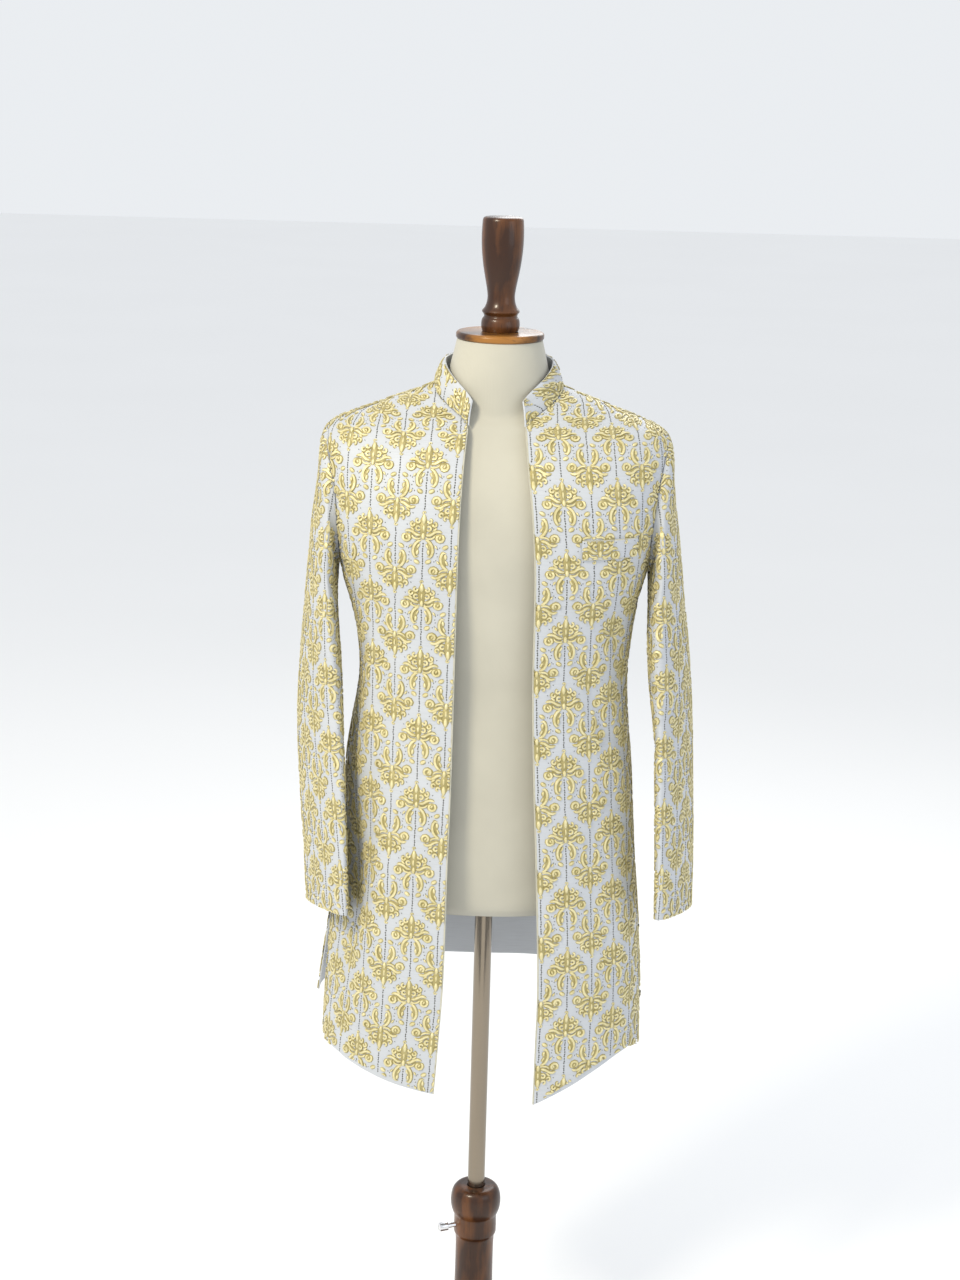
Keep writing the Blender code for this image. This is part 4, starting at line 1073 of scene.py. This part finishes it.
def lay_threads(cloth, threads, places, upright, profile, noise):
    """Strokes copied to places on flat cloth, cut off at its edges and carried onto the shell."""
    across, lifts, shades = map(np.array, profile)
    wobble = noise.uniform(-0.4, 0.4, (len(places), len(threads.centres), 1, 2)) * MM
    flip = (1, 1 if upright else -1)
    centres = threads.centres[None] * flip + places[:, None, None] + wobble
    s, t = centres[..., 0], centres[..., 1]
    clipped = cloth.clip(s, t, CUT_MARGIN)
    inside = (clipped[0] == s) & (clipped[1] == t) & ~cloth.bare(s, t)
    before = np.concatenate([inside[..., :1], inside[..., :-1]], axis=-1)
    after = np.concatenate([inside[..., 1:], inside[..., -1:]], axis=-1)
    alive = (before | inside | after) & ~cloth.bare(s, t)
    heading = unit(np.gradient(centres, axis=2))
    sideways = np.stack([-heading[..., 1], heading[..., 0]], axis=-1)
    spread = np.broadcast_to(threads.halves, s.shape)[..., None] * across
    flat = centres[..., None, :] + sideways[..., None, :] * spread[..., None]
    heights = noise.uniform(0.85, 1.15, s.shape[:2])[..., None]
    out = (threads.rises * heights)[..., None] * lifts
    points = cloth.place(*cloth.clip(flat[..., 0], flat[..., 1], CUT_MARGIN / 2), out)
    number = np.arange(out.size).reshape(out.shape)
    corners = (number[..., :-1, :-1], number[..., 1:, :-1], number[..., 1:, 1:], number[..., :-1, 1:])
    faces = np.stack(corners, axis=-1)
    live = alive[..., 1:] & alive[..., :-1] & (inside[..., 1:] | inside[..., :-1])
    kept = live[..., None] & np.ones(faces.shape[:-1], bool)
    faces = faces[kept]
    run = run_lengths(centres.reshape(-1, *centres.shape[2:]), 1).reshape(s.shape)
    seams = np.stack([shades + 0 * spread, np.broadcast_to(run[..., None], spread.shape)], axis=-1)
    return points.reshape(-1, 3), faces, seams.reshape(-1, 2)


# A stroke's cross section: the share of its half width, of its rise, and its painted shade (1 is darkest),
# which the gold thread's material reads to darken a stroke's sides
Profile = namedtuple("Profile", "across lifts shades")
RIBBON = Profile((1.0, 0.55, -0.55, -1.0), (-0.3, 1.0, 1.0, -0.3), (1.0, 0.55, -0.55, -1.0))
RIDGE = Profile((1.0, 0.0, -1.0), (-0.3, 1.0, -0.3), (1.0, 0.0, -1.0))
# The padding's shade values paint it darker, as shade between the raised strokes
SHADED_PAD = Profile((1.0, 0.8, -0.8, -1.0), (-0.3, 0.4, 0.4, -0.3), (0.95, 0.7, 0.7, 0.95))


def motif_places(cloth, offset, first_length, sizes, upright):
    """Middles of one kind of motif: every other column from offset, each a repeat apart."""
    spacing = sizes.column * 2
    reach = np.abs(cloth.spread).max() + spacing
    columns = np.arange(-reach // spacing, reach // spacing + 2) * spacing + offset
    if not upright:
        first_length += sizes.repeat / 2
    top = cloth.lengths[-1] + sizes.repeat
    rows = np.arange(first_length - sizes.repeat * 12, top, sizes.repeat)
    rows = rows[rows > -sizes.repeat]
    grid = np.stack(np.meshgrid(columns, rows, indexing="ij"), axis=-1)
    return grid.reshape(-1, 2)


def chain_places(places, upright):
    """Middles of the chain stitches that run from each motif's heart to the next one's ring."""
    drops = np.arange(CHAIN_TOP, CHAIN_FOOT, -CHAIN_PITCH) * (1 if upright else -1)
    steps = np.stack([0 * drops, drops], axis=-1)
    return (places[:, None] + steps[None]).reshape(-1, 2)


def split_rows(kinds):
    """The motif's rows of some kinds, on its middle line and on one half."""
    return [row for row in MIDDLE if isinstance(row, kinds)], [row for row in SIDES if isinstance(row, kinds)]


def embroider(name, cloth, offset, first_length, sizes, finishes):
    """The gold motifs and the darker chain lines of a panel, as two objects."""
    noise = np.random.default_rng(SEED + len(name))
    gold, dark = [], []
    groups = [
        (gold, *split_rows(Leaf), LEAF_SAMPLES, RIBBON),
        (gold, *split_rows((Curl, Stroke)), CURVE_SAMPLES, RIBBON),
        (gold, MIDDLE_PADS, SIDE_PADS, PAD_SAMPLES, SHADED_PAD),
        (dark, [], SPARKS, SPARK_SAMPLES, RIDGE),
    ]
    stitches = Threads([Leaf(CHAIN_WIDTH / MM, 0, 0, CHAIN_LENGTH / MM, 90)], [], SPARK_SAMPLES, sizes.thread)
    for upright in (True, False):
        shift = 0 if upright else sizes.column
        places = motif_places(cloth, offset + shift, first_length, sizes, upright)
        for pile, middle, sides, samples, profile in groups:
            threads = Threads(middle, sides, samples, sizes.thread)
            pile.append(lay_threads(cloth, threads, places, upright, profile, noise))
        dark.append(lay_threads(cloth, stitches, chain_places(places, upright), upright, RIDGE, noise))
    made = []
    for part, pieces, material in (("gold", gold, finishes["gold"]), ("chain", dark, finishes["chain"])):
        points = np.concatenate([piece[0] for piece in pieces])
        starts = np.cumsum([0] + [len(piece[0]) for piece in pieces[:-1]])
        faces = np.concatenate([piece[1] + start for piece, start in zip(pieces, starts)])
        flat = np.concatenate([piece[2] for piece in pieces])
        made.append(add_object(f"{name}_{part}", points, outward_faces(points, faces, cloth), flat, material))
    return made


def outward_faces(points, faces, cloth):
    """The faces turned so that they look out of the coat, like the cloth they lie on."""
    first, second, third = (points[faces[:, i]] for i in (0, 1, 2))
    normals = np.cross(second - first, third - first)
    middle = cloth.points.reshape(-1, 3).mean(axis=0)
    facing = np.sum(normals * ((first - middle) * (1, 1, 0)), axis=-1).sum()
    return faces if facing > 0 else faces[:, ::-1]


class Field:
    """A shader socket in a sum: each operator adds its Math node."""

    def __init__(self, finish, socket):
        self.finish, self.socket = finish, socket

    def __add__(self, other):
        return self.finish.maths("ADD", self, other)

    __radd__ = __add__

    def __mul__(self, other):
        return self.finish.maths("MULTIPLY", self, other)

    __rmul__ = __mul__

    def __sub__(self, other):
        return self.finish.maths("SUBTRACT", self, other)

    def __rsub__(self, other):
        return self.finish.maths("SUBTRACT", other, self)

    def __pow__(self, other):
        return self.finish.maths("POWER", self, other)


class Finish:
    """A material whose nodes are all added by one method."""

    def __init__(self, name, **constants):
        self.material = bpy.data.materials.new(name)
        self.material.use_nodes = True
        self.tree = self.material.node_tree
        self.shader = self.tree.nodes["Principled BSDF"]
        for socket, value in constants.items():
            self.shader.inputs[socket.replace("_", " ")].default_value = value

    def node(self, kind, settings, sockets, output=0):
        """Adds a node with its settings, values and links, and gives one of its outputs."""
        new = self.tree.nodes.new(kind)
        for name, value in settings.items():
            setattr(new, name, value)
        for name, value in sockets.items():
            if isinstance(value, Field):
                self.tree.links.new(value.socket, new.inputs[name])
            else:
                new.inputs[name].default_value = value
        return Field(self, new.outputs[output])

    def maths(self, operation, *values):
        return self.node("ShaderNodeMath", {"operation": operation}, dict(enumerate(values)))

    def wave(self, value, length):
        """A sine of a value, once in each length, from 0 to 1."""
        return self.maths("SINE", value * (2 * pi / length)) * 0.5 + 0.5

    def place(self, source, scale):
        """Object or UV coordinates, scaled."""
        vector = self.node("ShaderNodeTexCoord", {}, {}, source)
        return self.node("ShaderNodeMapping", {}, {"Vector": vector, "Scale": scale})

    def split(self, vector, axis):
        return self.node("ShaderNodeSeparateXYZ", {}, {"Vector": vector}, axis)

    def noise(self, vector, scale, detail=2.0):
        return self.node("ShaderNodeTexNoise", {}, {"Vector": vector, "Scale": scale, "Detail": detail})

    def ramp(self, value, low, high):
        """A value spread from low at 0 to high at 1."""
        return self.node("ShaderNodeMapRange", {}, {"Value": value, "From Min": low, "From Max": high})

    def mix(self, factor, first, second):
        sockets = {0: factor, 6: first, 7: second}
        return self.node("ShaderNodeMix", {"data_type": "RGBA"}, sockets, 2)

    def bump(self, height, distance, strength=1.0):
        sockets = {"Height": height, "Distance": distance, "Strength": strength}
        self.feed("Normal", self.node("ShaderNodeBump", {}, sockets))

    def feed(self, socket, field):
        self.tree.links.new(field.socket, self.shader.inputs[socket])


def opaque(colour, share=1.0):
    return (*[channel * share for channel in colour], 1.0)


def silk_finish(colours):
    """Ivory raw silk: uneven slubs across the cloth, a fine weave and a soft sheen."""
    finish = Finish("silk", Sheen_Weight=0.25, Sheen_Roughness=0.4)
    slubs = finish.noise(finish.place("UV", (38, 1500, 1)), 1.0, 3.0)
    long_slubs = finish.ramp(finish.noise(finish.place("UV", (14, 620, 1)), 1.0, 1.0), 0.56, 0.74)
    flat = finish.place("UV", (1, 1, 1))
    weave = finish.wave(finish.split(flat, 0), 0.0009) * finish.wave(finish.split(flat, 1), 0.0009)
    tone = slubs * 0.5 + finish.noise(finish.place("Object", (7, 7, 7)), 1.0) * 0.5
    ground = finish.mix(finish.ramp(tone, 0.3, 0.7), opaque(colours.silk, 0.90), opaque(colours.silk, 1.04))
    finish.feed("Base Color", finish.mix(long_slubs * 0.35, ground, opaque(colours.silk, 0.78)))
    finish.feed("Roughness", slubs * 0.22 + 0.40)
    finish.bump(slubs * 0.5 + long_slubs * 0.4 + weave * 0.3, 0.00025, 0.7)
    return finish.material


def gold_finish(colours):
    """Couched gold thread: strands laid side by side, with painted highlights on them and painted shade where
    a stroke meets the silk.
    """
    finish = Finish("gold_thread", Metallic=0.25, Sheen_Weight=0.15)
    flat = finish.place("UV", (1, 1, 1))
    across = finish.split(flat, 0)
    # edge: painted shade, darkest at a stroke's sides and over the padding
    edge = finish.ramp(across * across, 0.12, 0.70)
    strands = finish.wave(finish.split(flat, 1) + across * 0.0006, 0.0009)
    broad = finish.noise(finish.place("Object", (120, 120, 120)), 1.0, 2.0)
    fine = finish.noise(finish.place("Object", (900, 900, 900)), 1.0, 2.0)
    # lit: painted highlight on the strands, held back at a stroke's sides by the painted shade
    lit = finish.ramp(strands * 0.35 + broad * 0.75 + fine * 0.25 - edge * 0.25, 0.35, 0.85)
    body = finish.mix(lit, opaque(colours.gold), opaque(colours.highlight_and_cord_gold))
    # The painted shade turns a stroke's sides and the padding towards the shade gold
    finish.feed("Base Color", finish.mix(edge * 0.9, body, opaque(colours.gold_shade)))
    finish.feed("Roughness", fine * 0.2 + 0.30)
    finish.bump(strands * 0.8 + fine * 0.4, 0.0002, 0.7)
    return finish.material


def chain_finish(colours):
    """Dull slate chain stitches."""
    finish = Finish("chain_thread", Metallic=0.2)
    fine = finish.noise(finish.place("Object", (700, 700, 700)), 1.0)
    finish.feed("Base Color", finish.mix(fine, opaque(colours.chain, 0.7), opaque(colours.chain, 1.5)))
    finish.feed("Roughness", fine * 0.3 + 0.35)
    finish.bump(fine, 0.0001)
    return finish.material


def edging_finish(colours):
    """A tightly wrapped cream cord."""
    finish = Finish("edging", Sheen_Weight=0.3)
    flat = finish.place("UV", (1, 1, 1))
    twist = finish.wave(finish.split(flat, 1) + finish.split(flat, 0) * 0.8, 0.0011)
    fine = finish.noise(finish.place("Object", (260, 260, 260)), 1.0)
    wraps, gaps = opaque(colours.highlight_and_cord_gold, 0.86), opaque(colours.silk, 1.08)
    finish.feed("Base Color", finish.mix(twist * 0.5 + fine * 0.4, wraps, gaps))
    finish.feed("Roughness", fine * 0.2 + 0.34)
    finish.bump(twist, 0.0002)
    return finish.material


def cover_finish(colours):
    """Stretched cream jersey, finely ribbed."""
    finish = Finish("jersey", Sheen_Weight=0.3)
    place = finish.place("Object", (1, 1, 1))
    ribs = finish.wave(finish.split(place, 0) + finish.split(place, 1) * 0.9, 0.0016)
    rows = finish.wave(finish.split(place, 2), 0.0013)
    blotch = finish.noise(finish.place("Object", (9, 9, 9)), 1.0, 3.0)
    low, high = opaque(colours.cover, 0.93), opaque(colours.cover, 1.05)
    finish.feed("Base Color", finish.mix(finish.ramp(blotch, 0.3, 0.7), low, high))
    finish.feed("Roughness", ribs * 0.1 + 0.72)
    finish.bump(ribs * rows, 0.0002, 0.6)
    return finish.material


def wood_finish(colours, name, light, warmth, upright):
    """Turned hardwood under varnish: dark streaks along the grain, warmer where it is worn."""

    def grown(across, along):
        return finish.place("Object", (across, across, along) if upright else (along, across, across))

    finish = Finish(name, Coat_Roughness=0.08, Specular_IOR_Level=0.3)
    streaks = finish.noise(grown(58, 9), 1.0, 5.0)
    broad = finish.noise(grown(22, 12 if upright else 5), 1.0, 2.0)
    pores = finish.noise(grown(420, 40), 1.0, 2.0)
    tone = finish.ramp(streaks * 0.6 + broad * 0.5, warmth, warmth + 0.22)
    grain = finish.mix(tone, opaque(colours.wood), opaque(light))
    dark = finish.ramp(pores, 0.60, 0.72) * 0.5
    finish.feed("Base Color", finish.mix(dark, grain, opaque(colours.wood, 0.5)))
    finish.feed("Roughness", streaks * 0.2 + 0.22)
    finish.feed("Coat Weight", broad * 0.2 + 0.12)
    finish.bump(streaks * 0.6 + pores * 0.4, 0.0004, 0.4)
    return finish.material


def metal_finish(name, colour, streak):
    """Polished metal with faint handling streaks."""
    finish = Finish(name, Metallic=1.0)
    wear = finish.noise(finish.place("Object", streak), 1.0, 4.0)
    finish.feed("Base Color", finish.mix(wear, opaque(colour, 0.82), opaque(colour, 1.08)))
    finish.feed("Roughness", wear * 0.22 + 0.12)
    finish.bump(wear, 0.0001, 0.3)
    return finish.material


def stage_finish():
    """Plain pale floor."""
    finish = Finish("stage", Roughness=0.9)
    cloud = finish.noise(finish.place("Object", (0.8, 0.8, 0.8)), 1.0)
    finish.feed("Base Color", finish.mix(cloud, (0.92, 0.92, 0.92, 1), (0.95, 0.95, 0.95, 1)))
    return finish.material


FINISHES = {}


def finishes():
    """Every material of the coat and its stand, made once."""
    if not FINISHES:
        colours = bpy.context.scene.coat_colours
        FINISHES["silk"] = silk_finish(colours)
        FINISHES["gold"] = gold_finish(colours)
        FINISHES["chain"] = chain_finish(colours)
        FINISHES["edging"] = edging_finish(colours)
        FINISHES["cover"] = cover_finish(colours)
        FINISHES["wood"] = wood_finish(colours, "walnut", (0.16, 0.056, 0.013), 0.50, True)
        FINISHES["disc"] = wood_finish(colours, "disc_wood", (0.34, 0.145, 0.026), 0.38, False)
        FINISHES["base"] = wood_finish(colours, "base_wood", (0.14, 0.055, 0.020), 0.48, False)
        FINISHES["steel"] = metal_finish("steel", (0.30, 0.255, 0.20), (60, 60, 6))
        FINISHES["chrome"] = metal_finish("chrome", (0.80, 0.80, 0.82), (90, 90, 90))
    return FINISHES


def make_front(side, word, sizes):
    """One front with its gold embroidery and corded edge."""
    materials = finishes()
    angles, heights = front_grid(side)
    points = coat_points(angles, heights)
    cloth = flat_front(side)
    flat = np.stack([run_lengths(points, 1), np.vectorize(cloth.length_at)(heights)], axis=-1)
    front = make_wall(f"coat_front_{word}", points, points * (1, 1, 0), sizes.cloth, materials["silk"], flat)
    stand_for(f"front_{word}")
    offset, first = STARTS[word]
    if side > 0:
        cloth.holes.append(welt_patch(cloth))
    threads = embroider(f"front_{word}", cloth, offset, cloth.length_at(first), sizes, materials)
    normals, _ = grid_normals(points, points * (1, 1, 0))
    below_neck = heights[:, 0] <= FRONT_NECK_HEIGHT + 0.0005
    path = points[below_neck, 0] - normals[below_neck, 0] * sizes.cloth / 2
    edge = make_cord(f"edging_{word}", path, normals[below_neck, 0], sizes.edging, materials["edging"])
    declare(points)
    return front


def declare(points):
    """Works out the diagonals of a sheet's grid, and uses them for nothing."""
    sides = points[1:, 1:] - points[:-1, :-1], points[1:, :-1] - points[:-1, 1:]


def welt_patch(cloth):
    """Where the pocket welt lies on the flat left front."""
    middle = WELT_TOP - WELT_HEIGHT / 2
    row = int(np.argmin(np.abs(cloth.lengths - cloth.length_at(middle))))
    across = run_lengths(cloth.points, 1)[row]
    columns = cloth.points[row, :, 0]
    left, right = np.interp([WELT_INNER_X, WELT_OUTER_X], columns, across)
    bottom, top = cloth.length_at(WELT_TOP - WELT_HEIGHT), cloth.length_at(WELT_TOP)
    return left - MM, right + MM, bottom - MM, top + MM


class COAT_OT_fronts(bpy.types.Operator):
    """Make both open fronts with their embroidery and corded edges"""

    bl_idname = "coat.fronts"
    bl_label = "Fronts"

    def execute(self, context):
        make_front(-1, "right", context.scene.coat_sizes)
        make_front(1, "left", context.scene.coat_sizes)
        return {"FINISHED"}


class COAT_OT_back(bpy.types.Operator):
    """Make the back, cut in one piece down to its vents"""

    bl_idname = "coat.back"
    bl_label = "Back"

    def execute(self, context):
        sizes, materials = context.scene.coat_sizes, finishes()
        angles, heights = back_grid()
        points = back_points(angles, heights)
        back = make_wall("coat_back", points, points * (1, 1, 0), sizes.cloth, materials["silk"])
        stand_for("back")
        threads = embroider("back", flat_back(), *STARTS["back"], sizes, materials)
        declare(points)
        return {"FINISHED"}


class COAT_OT_sleeves(bpy.types.Operator):
    """Make both sleeves, each of an upper and an under piece"""

    bl_idname = "coat.sleeves"
    bl_label = "Sleeves"

    def execute(self, context):
        sizes, materials = context.scene.coat_sizes, finishes()
        spans = {"upper": (BACK_ARM_SEAM, FRONT_ARM_SEAM), "under": (FRONT_ARM_SEAM, 1 + BACK_ARM_SEAM)}
        for side, word in ((-1, "right"), (1, "left")):
            for piece, (first, last) in spans.items():
                count = int(round((last - first) * SLEEVE_COLUMNS))
                shares = crowded(first, last, count, np.array(TIGHT) / SLEEVE_ROUND)
                points, outward = sleeve_surface(side, shares * 2 * pi)
                for column, step in ((0, 1), (-1, -1)):
                    points[:, column] += unit(points[:, column + step] - points[:, column]) * SLEEVE_SEAM_PULL
                name = f"sleeve_{word}_{piece}"
                sleeve = make_wall(f"{name}_cloth", points, outward, sizes.cloth, materials["silk"])
                stand_for(name)
                cloth = flat_sleeve(side, first, last)
                threads = embroider(name, cloth, *STARTS["sleeve"], sizes, materials)
                declare(points)
        return {"FINISHED"}


class COAT_OT_collar(bpy.types.Operator):
    """Make the stand collar"""

    bl_idname = "coat.collar"
    bl_label = "Collar"

    def execute(self, context):
        sizes, materials = context.scene.coat_sizes, finishes()
        points, outward = collar_surface()
        collar = make_wall("coat_collar", points, outward, COLLAR_CLOTH, materials["silk"])
        stand_for("collar")
        threads = embroider("collar", flat_collar(), *STARTS["collar"], sizes, materials)
        declare(points)
        return {"FINISHED"}


class COAT_OT_welt(bpy.types.Operator):
    """Make the breast pocket's welt on the wearer's left"""

    bl_idname = "coat.welt"
    bl_label = "Pocket welt"

    def execute(self, context):
        sizes, materials = context.scene.coat_sizes, finishes()
        levels = crowded(WELT_TOP - WELT_HEIGHT, WELT_TOP, WELT_ROWS, WELT_TIGHT_ROWS)
        start, end = angle_at_x(WELT_INNER_X, levels), angle_at_x(WELT_OUTER_X, levels)
        shares = crowded(0.0, 1.0, WELT_COLUMNS, WELT_TIGHT_COLUMNS)
        angles = start[:, None] + (end - start)[:, None] * shares
        points = coat_points(angles, levels[:, None])
        normals, _ = grid_normals(points, points * (1, 1, 0))
        points = points + normals * (WELT_CLEAR + WELT_CLOTH)
        welt = make_wall("coat_welt", points, points * (1, 1, 0), WELT_CLOTH, materials["silk"])
        stand_for("pocket_welt")
        along = np.broadcast_to(run_lengths(points, 0)[:, :1], points.shape[:2])
        lengths = np.linspace(0, along[-1, 0], WELT_FLAT_ROWS)
        level = level_rows(along, points, lengths)
        edges = [np.full(WELT_FLAT_ROWS, float(column)) for column in (0, points.shape[1] - 1)]
        cloth = FlatCloth(
            lengths, level, level * (1, 1, 0), 0, edges, lambda s: 0 * s, lambda s: lengths[-1] + 0 * s
        )
        extras = embroider("welt", cloth, *STARTS["welt"], sizes, materials)
        for row, word in ((0, "foot"), (-1, "top")):
            path = points[row] - normals[row] * WELT_CLOTH / 2
            extras.append(make_cord(f"welt_{word}_cord", path, normals[row], WELT_CORD, materials["edging"]))
        declare(points)
        return {"FINISHED"}


def form_points(angles, heights):
    """Points of the dress form: the torso's section and the neck's run together into one."""
    torso = section_points(FORM_SECTIONS, angles, heights)
    flat = torso * (1, 1, 0)
    heading = unit(flat)
    ahead = heading[..., 1] < 0
    front, back = read_table(NECK_SECTIONS, heights, "front"), read_table(NECK_SECTIONS, heights, "back")
    depth = np.where(ahead, front, back)
    half_width = read_table(NECK_SECTIONS, heights, "half_width")
    neck = 1 / np.sqrt((heading[..., 0] / half_width) ** 2 + (heading[..., 1] / depth) ** 2)
    reach = (np.linalg.norm(flat, axis=-1) ** NECK_BLEND + neck**NECK_BLEND) ** (1 / NECK_BLEND)
    return heading * reach[..., None] + np.stack([0 * heights, 0 * heights, heights], axis=-1)


class COAT_OT_form(bpy.types.Operator):
    """Make the limbless dress form's covered torso"""

    bl_idname = "coat.form"
    bl_label = "Dress form"

    def execute(self, context):
        foot = FORM_BOTTOM + np.array(FORM_FOOT)
        heights = np.concatenate([foot, np.linspace(*FORM_BODY), np.linspace(*FORM_NECK)])
        angles = 360 * (np.arange(FORM_SIDES) + 0.5) / FORM_SIDES
        grid = form_points(*np.broadcast_arrays(angles[None], heights[:, None]))
        points = [tuple(point) for point in (grid.reshape(-1, 3) + (STAND_X, 0, 0))]
        number = np.arange(grid.shape[0] * FORM_SIDES).reshape(-1, FORM_SIDES)
        faces = [tuple(face) for face in tube_faces(number).tolist()]
        faces += [tuple(reversed(number[0].tolist())), tuple(number[-1].tolist())]
        mesh = bpy.data.meshes.new("dress_form")
        mesh.from_pydata(points, [], faces)
        mesh.polygons.foreach_set("use_smooth", np.ones(len(faces), dtype=bool))
        mesh.set_sharp_from_angle(angle=radians(50))
        mesh.materials.append(finishes()["cover"])
        form = bpy.data.objects.new("dress_form", mesh)
        context.scene.collection.objects.link(form)
        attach(form, "root")
        stand_for("form_torso")
        return {"FINISHED"}


def turn_on_lathe(name, profile, material, smooth_steps=3, aim=None):
    """A turned piece: a disc drawn up through a smooth profile of radii and heights. With aim, an
    angle and a height, its axis lies level instead."""
    outline = np.array(profile)
    run = run_lengths(outline, 0)
    marks = np.arange(0, len(outline) - 1 + 1e-9, 1 / smooth_steps)
    smooth = hermite(run, outline, np.interp(marks, np.arange(len(outline)), run))
    radius, height = smooth[0]
    bpy.ops.object.select_all(action="DESELECT")
    bpy.ops.mesh.primitive_circle_add(
        vertices=TURNED_SIDES, radius=radius, fill_type="NGON", location=(STAND_X, 0, height)
    )
    thing = bpy.context.active_object
    thing.name = name
    thing.data.name = name
    bpy.ops.object.mode_set(mode="EDIT")
    bpy.ops.mesh.select_all(action="SELECT")
    for (radius, height), (wider, higher) in zip(smooth, smooth[1:]):
        bpy.ops.mesh.extrude_region_move(TRANSFORM_OT_translate={"value": (0, 0, higher - height)})
        grow = wider / radius
        bpy.ops.transform.resize(value=(grow, grow, 1), center_override=(STAND_X, 0, higher))
    bpy.ops.mesh.select_all(action="SELECT")
    bpy.ops.mesh.normals_make_consistent(inside=False)
    if aim:
        angle, level = radians(aim[0]), aim[1]
        thing.rotation_euler = (0, pi / 2, angle)
        thing.location = (STAND_X + cos(angle) * outline[0][1], sin(angle) * outline[0][1], level)
    return finish_piece(thing, material)


def finish_piece(thing, material):
    """Leaves edit mode, applies the place and shades a piece that was modelled with tools."""
    bpy.ops.object.mode_set(mode="OBJECT")
    bpy.ops.object.transform_apply(location=True, rotation=True, scale=True)
    bpy.ops.object.shade_smooth_by_angle(angle=radians(40))
    thing.data.materials.clear()
    thing.data.materials.append(material)
    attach(thing, "root")
    return thing


class COAT_OT_stand(bpy.types.Operator):
    """Turn the finial, neck disc, column, base, pole and thumb screw"""

    bl_idname = "coat.stand"
    bl_label = "Stand"

    def execute(self, context):
        materials = finishes()
        pieces = (
            ("finial", FINIAL, "wood", "wood", 3, None),
            ("neck_disc", NECK_DISC, "disc", "wood", 3, None),
            ("column", COLUMN, "wood", "wood", 3, None),
            ("base", BASE, "base", "base_wood", 3, None),
            ("pole", POLE, "steel", "pole_metal", 1, None),
            ("clamp_screw", SCREW, "chrome", "screw_metal", 1, (SCREW_ANGLE, SCREW_HEIGHT)),
        )
        for node, profile, finish, slot, steps, aim in pieces:
            thing = turn_on_lathe(f"{node}_turned", profile, materials[finish], steps, aim)
            stand_for(node)
        return {"FINISHED"}


def add_light(name, place, size, power, colour):
    """A soft square light, turned towards the coat."""
    lamp = bpy.data.lights.new(name, "AREA")
    lamp.size, lamp.energy, lamp.color = size, power, colour
    thing = bpy.data.objects.new(name, lamp)
    heading = Vector(place) - Vector(LIGHT_AIM)
    thing.rotation_euler = heading.to_track_quat("Z", "Y").to_euler()
    thing.location = place
    bpy.context.scene.collection.objects.link(thing)


class COAT_OT_stage(bpy.types.Operator):
    """Set the pale floor, soft lights and camera"""

    bl_idname = "coat.stage"
    bl_label = "Stage"

    def execute(self, context):
        bpy.ops.object.select_all(action="DESELECT")
        bpy.ops.mesh.primitive_plane_add(size=FLOOR_SIZE, location=(0, 0, 0))
        floor = context.active_object
        floor.name = "floor"
        floor.data.materials.append(stage_finish())
        world = bpy.data.worlds.new("studio")
        world.use_nodes = True
        world.node_tree.nodes["Background"].inputs["Color"].default_value = SKY_COLOUR
        world.node_tree.nodes["Background"].inputs["Strength"].default_value = SKY_STRENGTH
        context.scene.world = world
        context.scene.view_settings.view_transform = "Standard"
        for light in LIGHTS:
            add_light(*light)
        camera = bpy.data.cameras.new("camera")
        camera.lens = CAMERA_LENS
        camera.sensor_width = 36
        view = bpy.data.objects.new("camera", camera)
        pitch = Matrix.Rotation(radians(90 - CAMERA_PITCH), 4, "X")
        roll = Matrix.Rotation(radians(CAMERA_ROLL), 4, "Z")
        view.matrix_world = Matrix.Translation(CAMERA_PLACE) @ pitch @ roll
        context.scene.collection.objects.link(view)
        context.scene.camera = view
        return {"FINISHED"}


OPERATORS = (
    COAT_OT_fronts,
    COAT_OT_back,
    COAT_OT_sleeves,
    COAT_OT_collar,
    COAT_OT_welt,
    COAT_OT_form,
    COAT_OT_stand,
    COAT_OT_stage,
)


class COAT_PT_panel(bpy.types.Panel):
    """Sizes, colours and steps of the coat"""

    bl_label = "Sherwani"
    bl_idname = "COAT_PT_panel"
    bl_space_type = "VIEW_3D"
    bl_region_type = "UI"
    bl_category = "Sherwani"

    def draw(self, context):
        for group in (context.scene.coat_sizes, context.scene.coat_colours):
            for name in group.__annotations__:
                self.layout.prop(group, name)
        for operator in OPERATORS:
            self.layout.operator(operator.bl_idname)


CLASSES = (CoatSizes, CoatColours, *OPERATORS, COAT_PT_panel)


def register():
    for item in CLASSES:
        bpy.utils.register_class(item)
    bpy.types.Scene.coat_sizes = bpy.props.PointerProperty(type=CoatSizes)
    bpy.types.Scene.coat_colours = bpy.props.PointerProperty(type=CoatColours)


def unregister():
    del bpy.types.Scene.coat_colours
    del bpy.types.Scene.coat_sizes
    for item in reversed(CLASSES):
        bpy.utils.unregister_class(item)


def main():
    register()
    bpy.ops.coat.fronts()
    bpy.ops.coat.back()
    bpy.ops.coat.sleeves()
    bpy.ops.coat.collar()
    bpy.ops.coat.welt()
    bpy.ops.coat.form()
    bpy.ops.coat.stand()
    bpy.ops.coat.stage()


if __name__ == "__main__":
    main()
